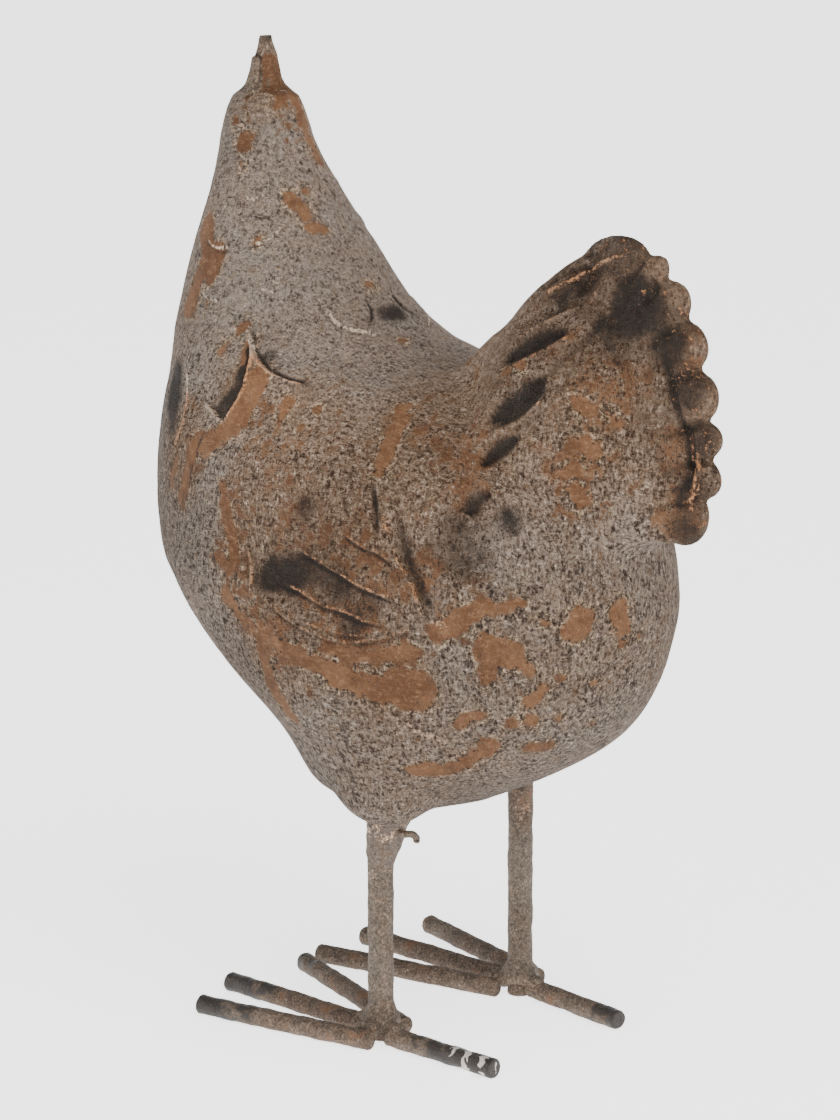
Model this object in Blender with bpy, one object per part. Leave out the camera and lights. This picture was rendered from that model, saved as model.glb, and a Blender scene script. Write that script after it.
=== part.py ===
"""Garden hen ornament: a hollow cast body with a fan tail, standing on two welded iron rod legs.

Frame: origin on the floor under the middle of the hen's outline, +Z up. The hen faces -Y and its left
side is +X. Every dimension below is in millimetres, measured from the floor point midway between the
legs; FRAME_SHIFT_Y carries that point to its place in the frame and MM turns millimetres into metres.
"""

import math

import bmesh
import bpy
from mathutils import Matrix, Vector

MM = 0.001
FRAME_SHIFT_Y = 5.42
GAP = 0.3  # clearance between pieces that touch
CUT_PAST = 4.0  # how far a cutter runs past the surface it cuts

# Body casting. Each station is a horizontal oval: height, front and back ends, width over length.
BODY_STATIONS = [
    (77.3, -32.0, 4.0, 1.05),
    (79.5, -44.0, 15.0, 1.04),
    (85.0, -49.5, 26.5, 1.06),
    (91.0, -52.5, 38.0, 0.99),
    (100.0, -59.0, 54.5, 0.89),
    (114.0, -77.0, 71.0, 0.76),
    (134.0, -103.5, 82.3, 0.66),
    (156.0, -123.0, 87.3, 0.61),
    (178.0, -125.7, 83.7, 0.60),
    (198.0, -125.0, 75.0, 0.59),
    (213.0, -124.0, 50.0, 0.57),
    (221.0, -122.8, 22.0, 0.62),
    (228.0, -121.5, -6.5, 0.70),
    (240.0, -119.5, -28.0, 0.74),
    (254.0, -115.5, -41.3, 0.80),
    (282.0, -107.0, -63.4, 0.86),
    (294.0, -105.5, -71.0, 0.86),
    (304.0, -103.0, -74.5, 0.86),
    (308.0, -101.0, -76.5, 0.86),
    (310.0, -98.0, -80.0, 0.88),
    (311.5, -96.3, -81.7, 0.90),
    (321.0, -94.5, -83.5, 0.94),
    (326.0, -92.6, -85.4, 0.97),
    (328.0, -90.8, -87.2, 1.00),
]
BODY_RING_PITCH = 6.2
BODY_SIDES = 56
BELLY_BOTTOM = BODY_STATIONS[0][0]
THIGH_HALF_SIZE = (16.0, 21.0, 18.5)
THIGH_SHIFT = 1.5  # behind the leg
THIGH_BOTTOM = 74.5

# Low-relief wing on each flank, an oval tilted down towards its tip.
WING_CENTRE = (-36.0, 139.0)  # along the body, height
WING_HALF_LENGTH = 47.0
WING_HALF_HEIGHT = 27.0
WING_TILT = math.radians(14.0)
WING_RELIEF = 3.0
WING_EDGE = (0.8, 1.15)  # the relief fades between these shares of the oval

# Fan tail, a plate in the middle plane that thickens towards its root inside the rump.
TAIL_ROOT = (18.0, 168.0)  # along the body, height
TAIL_CREST = [(-30.0, 196.0), (13.0, 231.5), (37.0, 251.5)]
LOBE_NOTCHES = [
    (64.5, 270.5),
    (82.5, 270.5),
    (91.3, 263.7),
    (100.5, 252.2),
    (105.6, 237.0),
    (110.1, 222.0),
    (111.8, 210.0),
    (109.7, 197.0),
    (96.7, 183.0),
]
TAIL_UNDERSIDE = [(80.0, 174.0), (66.0, 148.0), (30.0, 128.0), (-15.0, 150.0)]
LOBE_BULGE = 0.31  # of the lobe's chord
LOBE_SQUARENESS = 0.6  # 1 is a plain sine arch, less is blunter
LOBE_POINTS = 8
SCALLOPED_SHARE = 0.86  # nearer the root than this the fan's outline is plain
PLAIN_RISE = 0.6  # of the bulge, where the outline is plain
TAIL_SECTION = [  # share of the way from the root to the rim, half thickness
    (1.0, 3.0),
    (0.975, 6.0),
    (0.92, 8.2),
    (0.83, 11.0),
    (0.71, 15.5),
    (0.58, 21.5),
    (0.44, 29.0),
    (0.28, 37.0),
]

# Hollow inside the casting, reached through the belly opening.
WALL = 9.0
CAVITY_FLOOR = 93.0
CAVITY_ROOF = 226.0
CAVITY_RING_PITCH = 9.0
CAVITY_SIDES = 36
OPENING_CENTRE_Y = -18.0
OPENING_HALF_WIDTH = 14.0
OPENING_HALF_LENGTH = 21.0
PLUG_TOP = 97.0

# Legs and their fixing.
LEG_PLACES = {"left": (32.3, -0.7), "right": (-33.0, 1.5)}
LEG_RADIUS = 4.4
LEG_TOP = 140.0
LEG_SIDES = 20
LEG_HOLE_TOP = 114.0
COLLAR_RADIUS = 6.6
COLLAR_SHIFT = (-1.0, 1.0)  # the filler bulges inwards and back from the rod
COLLAR_FOOT = {"left": 61.0, "right": 80.0}
COLLAR_TOP = 96.0
COLLAR_FLARE = 9.0
COLLAR_LIP = 0.6  # thickness at the foot
CROSSBAR_RADIUS = 3.0
CROSSBAR_LENGTH = 84.0
CROSSBAR_HEIGHT = 128.0
CROSSBAR_SIDES = 16
TIE_WIRE_RADIUS = 0.8
TIE_POINTS = 28
TIE_SLACK = 2.0
STUB_RADIUS = 1.2
STUB_PATH = [(31.5, 9.2, 73.0), (29.6, 9.8, 73.2), (28.0, 10.6, 72.6), (27.0, 11.0, 71.2), (27.3, 10.8, 69.8)]

# Feet. Each toe is a straight rod on the floor, from its cut tip to its butt at the ankle.
TOE_RADIUS = 3.4
TOE_SIDES = 16
TOES = {
    "left_outer_toe": ((59.3, -61.8), (43.0, 5.5)),
    "left_middle_toe": ((36.2, -72.2), (32.3, -5.8)),
    "left_inner_toe": ((3.5, -69.0), (25.0, 3.4)),
    "left_hind_toe": ((32.7, 52.7), (35.5, 6.0)),
    "right_outer_toe": ((-57.0, -67.0), (-42.5, 1.5)),
    "right_middle_toe": ((-31.5, -74.5), (-35.0, -6.8)),
    "right_inner_toe": ((-6.5, -72.0), (-24.6, -1.0)),
    "right_hind_toe": ((-30.3, 50.5), (-33.0, 6.8)),
}
WELD_PROFILE = [(4.7, 7.2), (8.5, 7.2), (8.3, 8.8), (6.5, 11.5), (4.7, 14.0)]  # radius, height
WELD_SHIFT = (1.5, -1.5)  # outwards and forward, over the toes


def clear_scene():
    for obj in list(bpy.data.objects):
        bpy.data.objects.remove(obj, do_unlink=True)


def material(name, colour, roughness, metallic):
    finish = bpy.data.materials.new(name)
    finish.use_nodes = True
    shader = finish.node_tree.nodes["Principled BSDF"]
    shader.inputs["Base Color"].default_value = (*colour, 1.0)
    shader.inputs["Roughness"].default_value = roughness
    shader.inputs["Metallic"].default_value = metallic
    finish.diffuse_color = (*colour, 1.0)
    return finish


def solid(name, bm, finish):
    """A named mesh object from a bmesh in millimetres, with its faces turned outwards and shaded smooth."""
    bmesh.ops.recalc_face_normals(bm, faces=bm.faces)
    bmesh.ops.translate(bm, vec=(0.0, FRAME_SHIFT_Y, 0.0), verts=bm.verts)
    bmesh.ops.scale(bm, vec=(MM, MM, MM), verts=bm.verts)
    mesh = bpy.data.meshes.new(name)
    bm.to_mesh(mesh)
    bm.free()
    mesh.shade_smooth()
    mesh.set_sharp_from_angle(angle=math.radians(40.0))
    mesh.materials.append(finish)
    obj = bpy.data.objects.new(name, mesh)
    bpy.context.scene.collection.objects.link(obj)
    return obj


def skin(bm, rings, closed=False):
    """Joins neighbouring rings of vertices with quads; an open run gets a cap at each end."""
    pairs = list(zip(rings, rings[1:]))
    if closed:
        pairs.append((rings[-1], rings[0]))
    for lower, upper in pairs:
        count = len(lower)
        for i in range(count):
            j = (i + 1) % count
            bm.faces.new((lower[i], lower[j], upper[j], upper[i]))
    if not closed:
        bm.faces.new(list(reversed(rings[0])))
        bm.faces.new(rings[-1])


def steady_slope(before, after):
    """The slope of a smooth curve where two straight runs meet, flat where they turn back."""
    if before * after <= 0.0:
        return 0.0
    return 2.0 * before * after / (before + after)


def station_value(height, column):
    """One column of BODY_STATIONS at any height, on a smooth curve through the stations."""
    heights = [station[0] for station in BODY_STATIONS]
    values = [station[column] for station in BODY_STATIONS]
    height = min(max(height, heights[0]), heights[-1])
    k = max(i for i in range(len(heights) - 1) if heights[i] <= height)
    runs = [
        (values[i + 1] - values[i]) / (heights[i + 1] - heights[i])
        for i in range(len(heights) - 1)
    ]
    start = runs[k] if k == 0 else steady_slope(runs[k - 1], runs[k])
    end = runs[k] if k == len(runs) - 1 else steady_slope(runs[k], runs[k + 1])
    step = heights[k + 1] - heights[k]
    t = (height - heights[k]) / step
    return (
        values[k] * (1.0 + 2.0 * t) * (1.0 - t) ** 2
        + step * start * t * (1.0 - t) ** 2
        + values[k + 1] * t * t * (3.0 - 2.0 * t)
        + step * end * t * t * (t - 1.0)
    )


def body_oval(height):
    """Centre along the body, half length and half width of the body at this height."""
    front = station_value(height, 1)
    back = station_value(height, 2)
    half_length = (back - front) / 2.0
    return (front + back) / 2.0, half_length, half_length * station_value(height, 3)


def wing_rise(along, height):
    """How far the wing stands proud of the flank at this place."""
    offset = Vector((along - WING_CENTRE[0], height - WING_CENTRE[1]))
    offset.rotate(Matrix.Rotation(WING_TILT, 2))
    reach = math.hypot(offset.x / WING_HALF_LENGTH, offset.y / WING_HALF_HEIGHT)
    inner, outer = WING_EDGE
    blend = min(max((outer - reach) / (outer - inner), 0.0), 1.0)
    return WING_RELIEF * blend * blend * (3.0 - 2.0 * blend)


def oval_ring(bm, height, inset, sides, winged):
    centre, half_length, half_width = body_oval(height)
    half_length -= inset
    half_width -= inset
    ring = []
    for i in range(sides):
        angle = 2.0 * math.pi * i / sides
        across = half_width * math.sin(angle)
        along = centre + half_length * math.cos(angle)
        if winged:
            across += math.copysign(wing_rise(along, height) * abs(math.sin(angle)), across)
        ring.append(bm.verts.new((across, along, height)))
    return ring


def evenly(start, end, pitch):
    """Values from start to end, both included, about one pitch apart."""
    count = max(1, round((end - start) / pitch))
    return [start + (end - start) * i / count for i in range(count + 1)]


def body_shell():
    """The outer surface of belly, breast, back, neck, head and beak."""
    bm = bmesh.new()
    heights = []
    for lower, upper in zip(BODY_STATIONS, BODY_STATIONS[1:]):
        heights += evenly(lower[0], upper[0], BODY_RING_PITCH)[:-1]
    heights.append(BODY_STATIONS[-1][0])
    skin(bm, [oval_ring(bm, height, 0.0, BODY_SIDES, True) for height in heights])
    return bm


def tail_outline(share):
    """The fan's outline, shrunk to this share of its size; its scallops fade out away from the rim."""
    scallop = min(max((share - SCALLOPED_SHARE) / (1.0 - SCALLOPED_SHARE), 0.0), 1.0)
    outline = [Vector(point) for point in TAIL_CREST]
    for start, end in zip(LOBE_NOTCHES, LOBE_NOTCHES[1:]):
        a = Vector(start)
        chord = Vector(end) - a
        outward = Vector((-chord.y, chord.x)).normalized()
        for i in range(LOBE_POINTS):
            t = i / LOBE_POINTS
            arch = math.sin(math.pi * t) ** LOBE_SQUARENESS
            rise = LOBE_BULGE * chord.length * (PLAIN_RISE + scallop * (arch - PLAIN_RISE))
            outline.append(a + chord * t + outward * rise)
    outline.append(Vector(LOBE_NOTCHES[-1]))
    outline += [Vector(point) for point in TAIL_UNDERSIDE]
    root = Vector(TAIL_ROOT)
    return [root + (point - root) * share for point in outline]


def tail_plate():
    """The fan as a lens: copies of its outline shrink towards the root while they move apart."""
    bm = bmesh.new()
    far_side = [(share, -half_thickness) for share, half_thickness in reversed(TAIL_SECTION)]
    rings = []
    for share, across in far_side + TAIL_SECTION:
        rings.append([bm.verts.new((across, p.x, p.y)) for p in tail_outline(share)])
    skin(bm, rings)
    return bm


def thigh_bulge(place):
    """The rounded swelling of the casting where one leg enters it."""
    bm = bmesh.new()
    bmesh.ops.create_uvsphere(bm, u_segments=24, v_segments=14, radius=1.0)
    centre = Vector((place[0], place[1] + THIGH_SHIFT, THIGH_BOTTOM + THIGH_HALF_SIZE[2]))
    bmesh.ops.transform(bm, matrix=Matrix.LocRotScale(centre, None, THIGH_HALF_SIZE), verts=bm.verts)
    return bm


def cavity_core():
    """The hollow inside, which follows the outer surface one wall thickness in."""
    bm = bmesh.new()
    heights = evenly(CAVITY_FLOOR, CAVITY_ROOF, CAVITY_RING_PITCH)
    skin(bm, [oval_ring(bm, height, WALL, CAVITY_SIDES, False) for height in heights])
    return bm


def prism(start, end, radius, sides, flat_down=False):
    """A straight rod from start to end. With flat_down one long facet faces the floor."""
    bm = bmesh.new()
    start = Vector(start)
    axis = Vector(end) - start
    bmesh.ops.create_cone(
        bm, cap_ends=True, segments=sides, radius1=radius, radius2=radius, depth=axis.length
    )
    roll = math.pi / sides if flat_down else 0.0
    turn = axis.to_track_quat("Z", "Y").to_matrix().to_4x4()
    place = Matrix.Translation(start + axis / 2.0) @ turn @ Matrix.Rotation(roll, 4, "Z")
    bmesh.ops.transform(bm, matrix=place, verts=bm.verts)
    return bm


def oval_prism(half_width, half_length, centre_y, bottom, top, sides=36):
    bm = bmesh.new()
    rings = []
    for height in (bottom, top):
        angles = [2.0 * math.pi * i / sides for i in range(sides)]
        rings.append(
            [
                bm.verts.new((half_width * math.sin(a), centre_y + half_length * math.cos(a), height))
                for a in angles
            ]
        )
    skin(bm, rings)
    return bm


def turned_ring(profile, centre, shift=(0.0, 0.0), sides=28):
    """A closed profile of (radius, height) points turned round a vertical axis.

    The bore stays on the axis, and a point shifts sideways the more the wider it is.
    """
    bm = bmesh.new()
    bore = min(radius for radius, _ in profile)
    widest = max(radius for radius, _ in profile)
    rings = []
    for i in range(sides):
        angle = 2.0 * math.pi * i / sides
        ring = []
        for radius, height in profile:
            share = (radius - bore) / (widest - bore)
            x = centre[0] + shift[0] * share + radius * math.cos(angle)
            y = centre[1] + shift[1] * share + radius * math.sin(angle)
            ring.append(bm.verts.new((x, y, height)))
        rings.append(ring)
    skin(bm, rings, closed=True)
    return bm


def swept_wire(points, radius, closed, sides=8):
    """A wire of round section along a run of points."""
    bm = bmesh.new()
    path = [Vector(point) for point in points]
    rings = []
    for i, point in enumerate(path):
        if closed:
            heading = path[(i + 1) % len(path)] - path[i - 1]
        else:
            heading = path[min(i + 1, len(path) - 1)] - path[max(i - 1, 0)]
        turn = heading.to_track_quat("Z", "X")
        rings.append(
            [
                bm.verts.new(
                    point
                    + turn @ Vector((
                        radius * math.cos(2.0 * math.pi * k / sides),
                        radius * math.sin(2.0 * math.pi * k / sides),
                        0.0,
                    ))
                )
                for k in range(sides)
            ]
        )
    skin(bm, rings, closed=closed)
    return bm


def helper(name, bm, finish):
    """A guide for a Boolean, which is not a piece of the ornament."""
    obj = solid(name, bm, finish)
    obj.hide_render = True
    obj.display_type = "WIRE"
    return obj


def add_boolean(obj, operation, other):
    modifier = obj.modifiers.new(operation.lower() + "_" + other.name, "BOOLEAN")
    modifier.operation = operation
    modifier.solver = "EXACT"
    modifier.object = other


def make_body(stone):
    body = solid("body_casting", body_shell(), stone)
    add_boolean(body, "UNION", helper("tail_guide", tail_plate(), stone))
    for side, place in LEG_PLACES.items():
        add_boolean(body, "UNION", helper(side + "_thigh_guide", thigh_bulge(place), stone))
    add_boolean(body, "DIFFERENCE", helper("cavity_guide", cavity_core(), stone))
    opening = oval_prism(
        OPENING_HALF_WIDTH,
        OPENING_HALF_LENGTH,
        OPENING_CENTRE_Y,
        BELLY_BOTTOM - CUT_PAST,
        CAVITY_FLOOR + CUT_PAST,
    )
    add_boolean(body, "DIFFERENCE", helper("opening_guide", opening, stone))
    for side, (x, y) in LEG_PLACES.items():
        x += COLLAR_SHIFT[0]
        y += COLLAR_SHIFT[1]
        bottom = THIGH_BOTTOM - CUT_PAST
        hole = prism((x, y, bottom), (x, y, LEG_HOLE_TOP), COLLAR_RADIUS + GAP, LEG_SIDES)
        add_boolean(body, "DIFFERENCE", helper(side + "_hole_guide", hole, stone))


def make_plug(mortar):
    plug = oval_prism(
        OPENING_HALF_WIDTH - GAP, OPENING_HALF_LENGTH - GAP, OPENING_CENTRE_Y, BELLY_BOTTOM, PLUG_TOP
    )
    solid("belly_plug", plug, mortar)


def collar_profile(foot):
    """Filler from its thin foot on the rod up to its full radius inside the leg hole."""
    bore = LEG_RADIUS + GAP
    return [
        (bore, foot),
        (bore + COLLAR_LIP, foot),
        (COLLAR_RADIUS, foot + COLLAR_FLARE),
        (COLLAR_RADIUS, COLLAR_TOP),
        (bore, COLLAR_TOP),
    ]


def make_legs(iron, mortar, wire):
    for side, (x, y) in LEG_PLACES.items():
        rod = prism((x, y, 0.0), (x, y, LEG_TOP), LEG_RADIUS, LEG_SIDES)
        solid(side + "_leg_rod", rod, iron)
        collar = turned_ring(collar_profile(COLLAR_FOOT[side]), (x, y), COLLAR_SHIFT)
        solid(side + "_leg_collar", collar, mortar)
        solid(side + "_ankle_weld", turned_ring(WELD_PROFILE, (x, y), WELD_SHIFT), iron)
        solid(side + "_armature_tie", tie_loop(x, y), wire)


def crossbar_y():
    """The crossbar runs just behind both legs."""
    return max(y for _, y in LEG_PLACES.values()) + LEG_RADIUS + CROSSBAR_RADIUS + GAP


def tie_loop(x, y):
    """A wire passed diagonally round the crossing of leg and crossbar."""
    front = y - LEG_RADIUS
    back = crossbar_y() + CROSSBAR_RADIUS
    slack = TIE_WIRE_RADIUS + TIE_SLACK
    reach_y = (back - front) / 2.0 + slack
    reach_diagonal = LEG_RADIUS * math.sqrt(2.0) + slack
    diagonal = Vector((1.0, 0.0, 1.0)).normalized()
    middle = Vector((x, (front + back) / 2.0, CROSSBAR_HEIGHT))
    points = []
    for i in range(TIE_POINTS):
        angle = 2.0 * math.pi * i / TIE_POINTS
        across = diagonal * (reach_diagonal * math.cos(angle))
        points.append(middle + across + Vector((0.0, reach_y * math.sin(angle), 0.0)))
    return swept_wire(points, TIE_WIRE_RADIUS, closed=True)


def make_crossbar(iron):
    end = CROSSBAR_LENGTH / 2.0
    y = crossbar_y()
    bar = prism((-end, y, CROSSBAR_HEIGHT), (end, y, CROSSBAR_HEIGHT), CROSSBAR_RADIUS, CROSSBAR_SIDES)
    solid("armature_crossbar", bar, iron)


def make_toes(iron):
    axis_height = TOE_RADIUS * math.cos(math.pi / TOE_SIDES)
    for name, (tip, butt) in TOES.items():
        rod = prism((*tip, axis_height), (*butt, axis_height), TOE_RADIUS, TOE_SIDES, flat_down=True)
        solid(name, rod, iron)


def make_wire_stub(wire):
    """The curled end of a tie wire that shows behind the left leg's collar."""
    solid("left_wire_stub", swept_wire(STUB_PATH, STUB_RADIUS, closed=False), wire)


def main():
    clear_scene()
    stone = material("speckled_stone", (0.22, 0.17, 0.13), 0.85, 0.0)
    mortar = material("grey_mortar", (0.30, 0.27, 0.22), 0.9, 0.0)
    iron = material("coated_iron", (0.18, 0.14, 0.11), 0.75, 0.3)
    wire = material("tie_wire", (0.12, 0.09, 0.07), 0.6, 0.8)
    make_body(stone)
    make_plug(mortar)
    make_legs(iron, mortar, wire)
    make_crossbar(iron)
    make_toes(iron)
    make_wire_stub(wire)


main()
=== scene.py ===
"""Looks of the garden hen ornament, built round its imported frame.

Lengths in the tables are millimetres in the frame's own axes: the hen faces -Y, its left side is +X and
the floor is Z = 0. Carved marks and patches are listed for the left side; the right side is their mirror.
"""

import math
import random

import bmesh
import bpy
import numpy as np
from mathutils import Matrix, Vector, noise
from mathutils.bvhtree import BVHTree
from mathutils.kdtree import KDTree


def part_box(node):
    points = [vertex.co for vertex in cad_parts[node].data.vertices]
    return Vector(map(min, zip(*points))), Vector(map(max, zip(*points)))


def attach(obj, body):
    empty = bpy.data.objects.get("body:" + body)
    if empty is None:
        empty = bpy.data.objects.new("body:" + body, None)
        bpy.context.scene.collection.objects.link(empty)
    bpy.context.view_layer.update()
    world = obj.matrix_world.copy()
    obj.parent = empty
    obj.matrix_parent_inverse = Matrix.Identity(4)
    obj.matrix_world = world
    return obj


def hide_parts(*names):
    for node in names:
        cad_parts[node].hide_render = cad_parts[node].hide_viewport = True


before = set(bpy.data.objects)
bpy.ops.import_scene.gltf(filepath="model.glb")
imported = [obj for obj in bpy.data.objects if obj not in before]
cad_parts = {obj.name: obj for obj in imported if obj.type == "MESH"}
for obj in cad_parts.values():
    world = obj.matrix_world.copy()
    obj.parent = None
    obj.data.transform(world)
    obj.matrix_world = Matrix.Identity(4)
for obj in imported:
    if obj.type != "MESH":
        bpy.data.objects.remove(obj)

MM = 0.001

# ---------------------------------------------------------------- view and studio
CAMERA_AZIMUTH = 135.0  # degrees from the hen's front towards its left side
CAMERA_ELEVATION = 13.0
CAMERA_DISTANCE = 1.25
CAMERA_TARGET = Vector((0.0, -0.0091, 0.1576))
FOCAL_LENGTH = 119.7
SENSOR_HEIGHT = 36.0
FLOOR_GLOW = 2.2  # the floor is a light table, and so is the round wall far behind
WALL_RADIUS = 18.0
WALL_HEIGHT = 5.0
SKY_STRENGTH = 0.34
LIGHTS = (  # name, azimuth, elevation, distance, size, power
    ("key", 165.0, 54.0, 1.6, 1.1, 17.5),
    ("fill", 98.0, 25.0, 1.8, 1.4, 7.5),
)

# ---------------------------------------------------------------- casting
VOXEL = 1.3  # pitch of the casting's surface mesh
REFINE_REACH = 3.2  # the mesh is twice as fine this near to a carved mark
BEAK_CENTRE = -83.6
BEAK_BASE = 310.5  # the head ends here and the beak is a piece of its own
BEAK_PROFILE = [  # height, radius
    (302.0, 13.5), (306.0, 11.5), (309.4, 9.4), (310.8, 7.8), (311.8, 6.8), (313.4, 6.1), (316.6, 5.2),
    (321.0, 4.3), (323.6, 3.5), (326.4, 2.7), (328.4, 2.2),
]
BEAK_SIDES = 56
BEAK_PITCH = 0.45
LIP_HEIGHT = 321.5  # the lower beak ends here
SPLIT_BEARING = 2.05  # where the two halves of the beak meet, in radians from the front
CREASE_ROUNDS = 26  # smoothing passes over the inner corners
CRISP_REACH = (70.0, 80.0)  # but not out here on the fan, from its root
BELLY_ROUNDS = 30  # passes over the belly and thighs
BELLY_HEIGHTS = (112.0, 132.0)  # fully below the first and not above the second
HIDDEN_THIGH = (-33.0, 20.0, 96.0)  # the right thigh bulges less than the left one
HIDDEN_THIGH_REACH = (22.0, 36.0)
HIDDEN_THIGH_ROUNDS = 120
LUMP_HEIGHT = 0.28  # hand-made unevenness of the casting
MARK_STEP = 1.5  # spacing of the points along a carved mark

# Carved marks: kind, half width, height, dark, worn, points. A ridge stands proud, a groove is cut in, a
# leaf is a groove that tapers to its ends, and a step is a lip that is high on the left of its direction,
# seen from outside, and fades away. Dark is painted shade, laid in a groove and in the hollow beside a
# ridge or a step's lip.
MARKS = [
    # arcs pressed into the neck
    ("step", 0.5, 0.5, 0.25, 1.3, [(16, -80, 290), (16, -75, 287), (14, -72, 290)]),
    ("step", 0.5, 0.5, 0.25, 1.2, [(20, -73, 277), (20, -69, 275), (17, -66, 277), (16, -66, 280)]),
    ("step", 0.5, 0.6, 0.25, 1.4, [(25, -63, 261), (24, -60, 262), (21, -57, 264), (18, -56, 268)]),
    ("step", 0.7, 0.9, 0.6, 1.35, [(26, -86, 262), (28, -80, 259), (28, -74, 259), (27, -72, 262)]),
    ("step", 0.6, 0.6, 0.3, 1.5, [(32, -83, 244), (33, -77, 242), (33, -71, 242)]),
    ("step", 0.5, 0.45, 0.15, 1.1, [(30, -57, 248), (29, -52, 247), (27, -47, 246)]),
    ("step", 0.6, 0.9, 0.35, 1.45, [(20, -35, 243), (20, -29, 238), (19, -24, 236), (12, -16, 235)]),
    ("groove", 0.7, 0.7, 0.9, 0.0, [(-6, -29, 245), (-7, -25, 241), (-11, -21, 238)]),
    # pointed hackle feathers on the breast
    ("step", 0.8, 1.5, 0.8, 1.8, [(42, -17, 222), (43, -26, 222), (43, -34, 223), (42, -40, 225),
     (39, -47, 228), (37, -51, 232), (35, -55, 237)]),
    ("step", 1.2, 2.3, 1.4, 2.0, [(37, -51, 232), (41, -46, 226), (45, -44, 220), (48, -44, 215),
     (51, -46, 209), (52, -49, 206)]),
    ("step", 0.8, 1.1, 0.35, 1.6, [(52, -47, 206), (51, -53, 208), (48, -61, 211)]),
    ("step", 1.3, 2.4, 1.4, 1.6, [(39, -79, 221), (44, -75, 213), (47, -72, 207), (49, -71, 201),
     (50, -75, 192)]),
    ("step", 1.4, 1.0, 0.55, 0.2, [(53, -55, 203), (55, -58, 194), (56, -62, 184), (55, -66, 176)]),
    # wing: shoulder, lower edge, feather shafts and the fold behind it
    ("ridge", 0.9, 0.8, 0.3, 1.1, [(64, -25, 170), (65, -22, 165), (66, -20, 160), (67, -20, 155)]),
    ("step", 0.8, 1.5, 0.42, 0.75, [(67, -22, 158), (67, -16, 156), (67, -10, 153), (66, -4, 150),
     (65, 4, 147), (63, 12, 145), (61, 20, 145), (59, 28, 147), (56, 37, 150), (53, 47, 155)]),
    ("step", 0.6, 0.6, 0.25, 0.6, [(65, -2, 151), (64, 6, 149), (62, 14, 148), (60, 23, 148),
     (58, 31, 150)]),
    ("step", 0.8, 1.0, 0.55, 0.9, [(63, -3, 173), (62, 7, 170), (61, 16, 167), (60, 24, 164),
     (58, 32, 162), (56, 39, 160)]),
    ("step", 0.8, 1.0, 0.6, 0.9, [(65, -8, 161), (64, 1, 159), (63, 10, 156), (61, 19, 155),
     (59, 27, 153), (57, 35, 153)]),
    ("step", 0.7, 1.0, 0.65, 0.95, [(59, 16, 180), (59, 23, 177), (57, 30, 175), (56, 37, 171)]),
    ("ridge", 0.9, 1.2, 0.1, 1.05, [(55, 33, 179), (55, 37, 173), (54, 41, 167), (53, 45, 158),
     (53, 48, 155)]),
    ("leaf", 2.8, 1.3, 0.6, 0.0, [(54, 33, 190), (54, 37, 181), (54, 41, 172), (53, 46, 163),
     (52, 50, 157)]),
    ("groove", 0.9, 1.0, 0.85, 0.0, [(54, 23, 197), (55, 26, 190), (56, 28, 181)]),
    ("groove", 8.0, 3.2, 0.15, 0.0, [(45, 50, 192), (46, 53, 182), (46, 57, 170)]),
    # overlapping feathers along the front of the fan tail
    ("ridge", 0.8, 1.1, 0.0, 1.3, [(8, 52, 255), (9, 61, 260), (9, 68, 263), (8, 75, 267), (7, 81, 270),
     (5, 87, 273)]),
    ("leaf", 3.4, 2.4, 0.4, 0.0, [(11, 50, 246), (11, 58, 253), (10, 68, 260), (8, 80, 266)]),
    ("ridge", 0.9, 1.2, 0.0, 0.6, [(12, 42, 237), (13, 49, 243), (13, 56, 247), (12, 64, 252),
     (11, 72, 257), (10, 79, 262)]),
    ("leaf", 3.8, 2.2, 1.05, 0.0, [(14, 42, 233), (16, 50, 238), (16, 57, 241), (15, 64, 245),
     (14, 70, 248)]),
    ("ridge", 1.0, 0.9, 0.0, 0.75, [(19, 50, 232), (18, 57, 237), (16, 65, 241), (15, 73, 247)]),
    ("leaf", 4.4, 2.6, 1.25, 0.0, [(28, 48, 216), (25, 55, 221), (23, 60, 226), (20, 67, 232)]),
    ("step", 0.9, 1.2, 0.5, 0.55, [(20, 70, 231), (25, 63, 222), (28, 57, 217), (31, 49, 213)]),
    ("leaf", 3.2, 2.2, 1.0, 0.0, [(34, 52, 203), (30, 55, 208), (26, 62, 214)]),
    ("leaf", 3.6, 1.8, 0.75, 0.0, [(43, 54, 189), (40, 56, 194), (37, 60, 197)]),
    ("groove", 1.2, 0.6, 0.12, 0.0, [(37, 63, 196), (35, 66, 189), (35, 68, 183)]),
    ("groove", 1.6, 0.8, 0.3, 0.0, [(22, 62, 228), (19, 70, 237), (14, 80, 250), (10, 86, 260)]),
    ("groove", 2.0, 0.8, 0.25, 0.0, [(30, 60, 214), (26, 66, 220), (20, 72, 232), (15, 79, 242)]),
    # scuffed lines where the coat is rubbed pale
    ("ridge", 2.6, 0.15, 0.0, 0.8, [(55, 34, 121), (50, 42, 116), (46, 50, 110)]),
    ("ridge", 2.8, 0.15, 0.0, 0.6, [(28, -50, 254), (27, -50, 248)]),
    ("ridge", 2.2, 0.15, 0.0, 0.8, [(55, 29, 188), (55, 33, 180)]),
    ("ridge", 2.2, 0.15, 0.0, 0.8, [(52, 48, 156), (50, 54, 154)]),
    # inner row of short feathers near the lower lobes
    ("groove", 1.3, 1.2, 0.7, 0.0, [(9, 103, 243), (9, 106, 234), (8, 108, 226), (7, 112, 219),
     (6, 114, 212), (7, 113, 203), (7, 111, 196)]),
    ("ridge", 0.9, 0.8, 0.0, 0.95, [(5, 116, 213), (6, 116, 207), (6, 115, 201), (6, 114, 194)]),
]
STEP_REACH = 7.0  # how far a step's lip fades back

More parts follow.
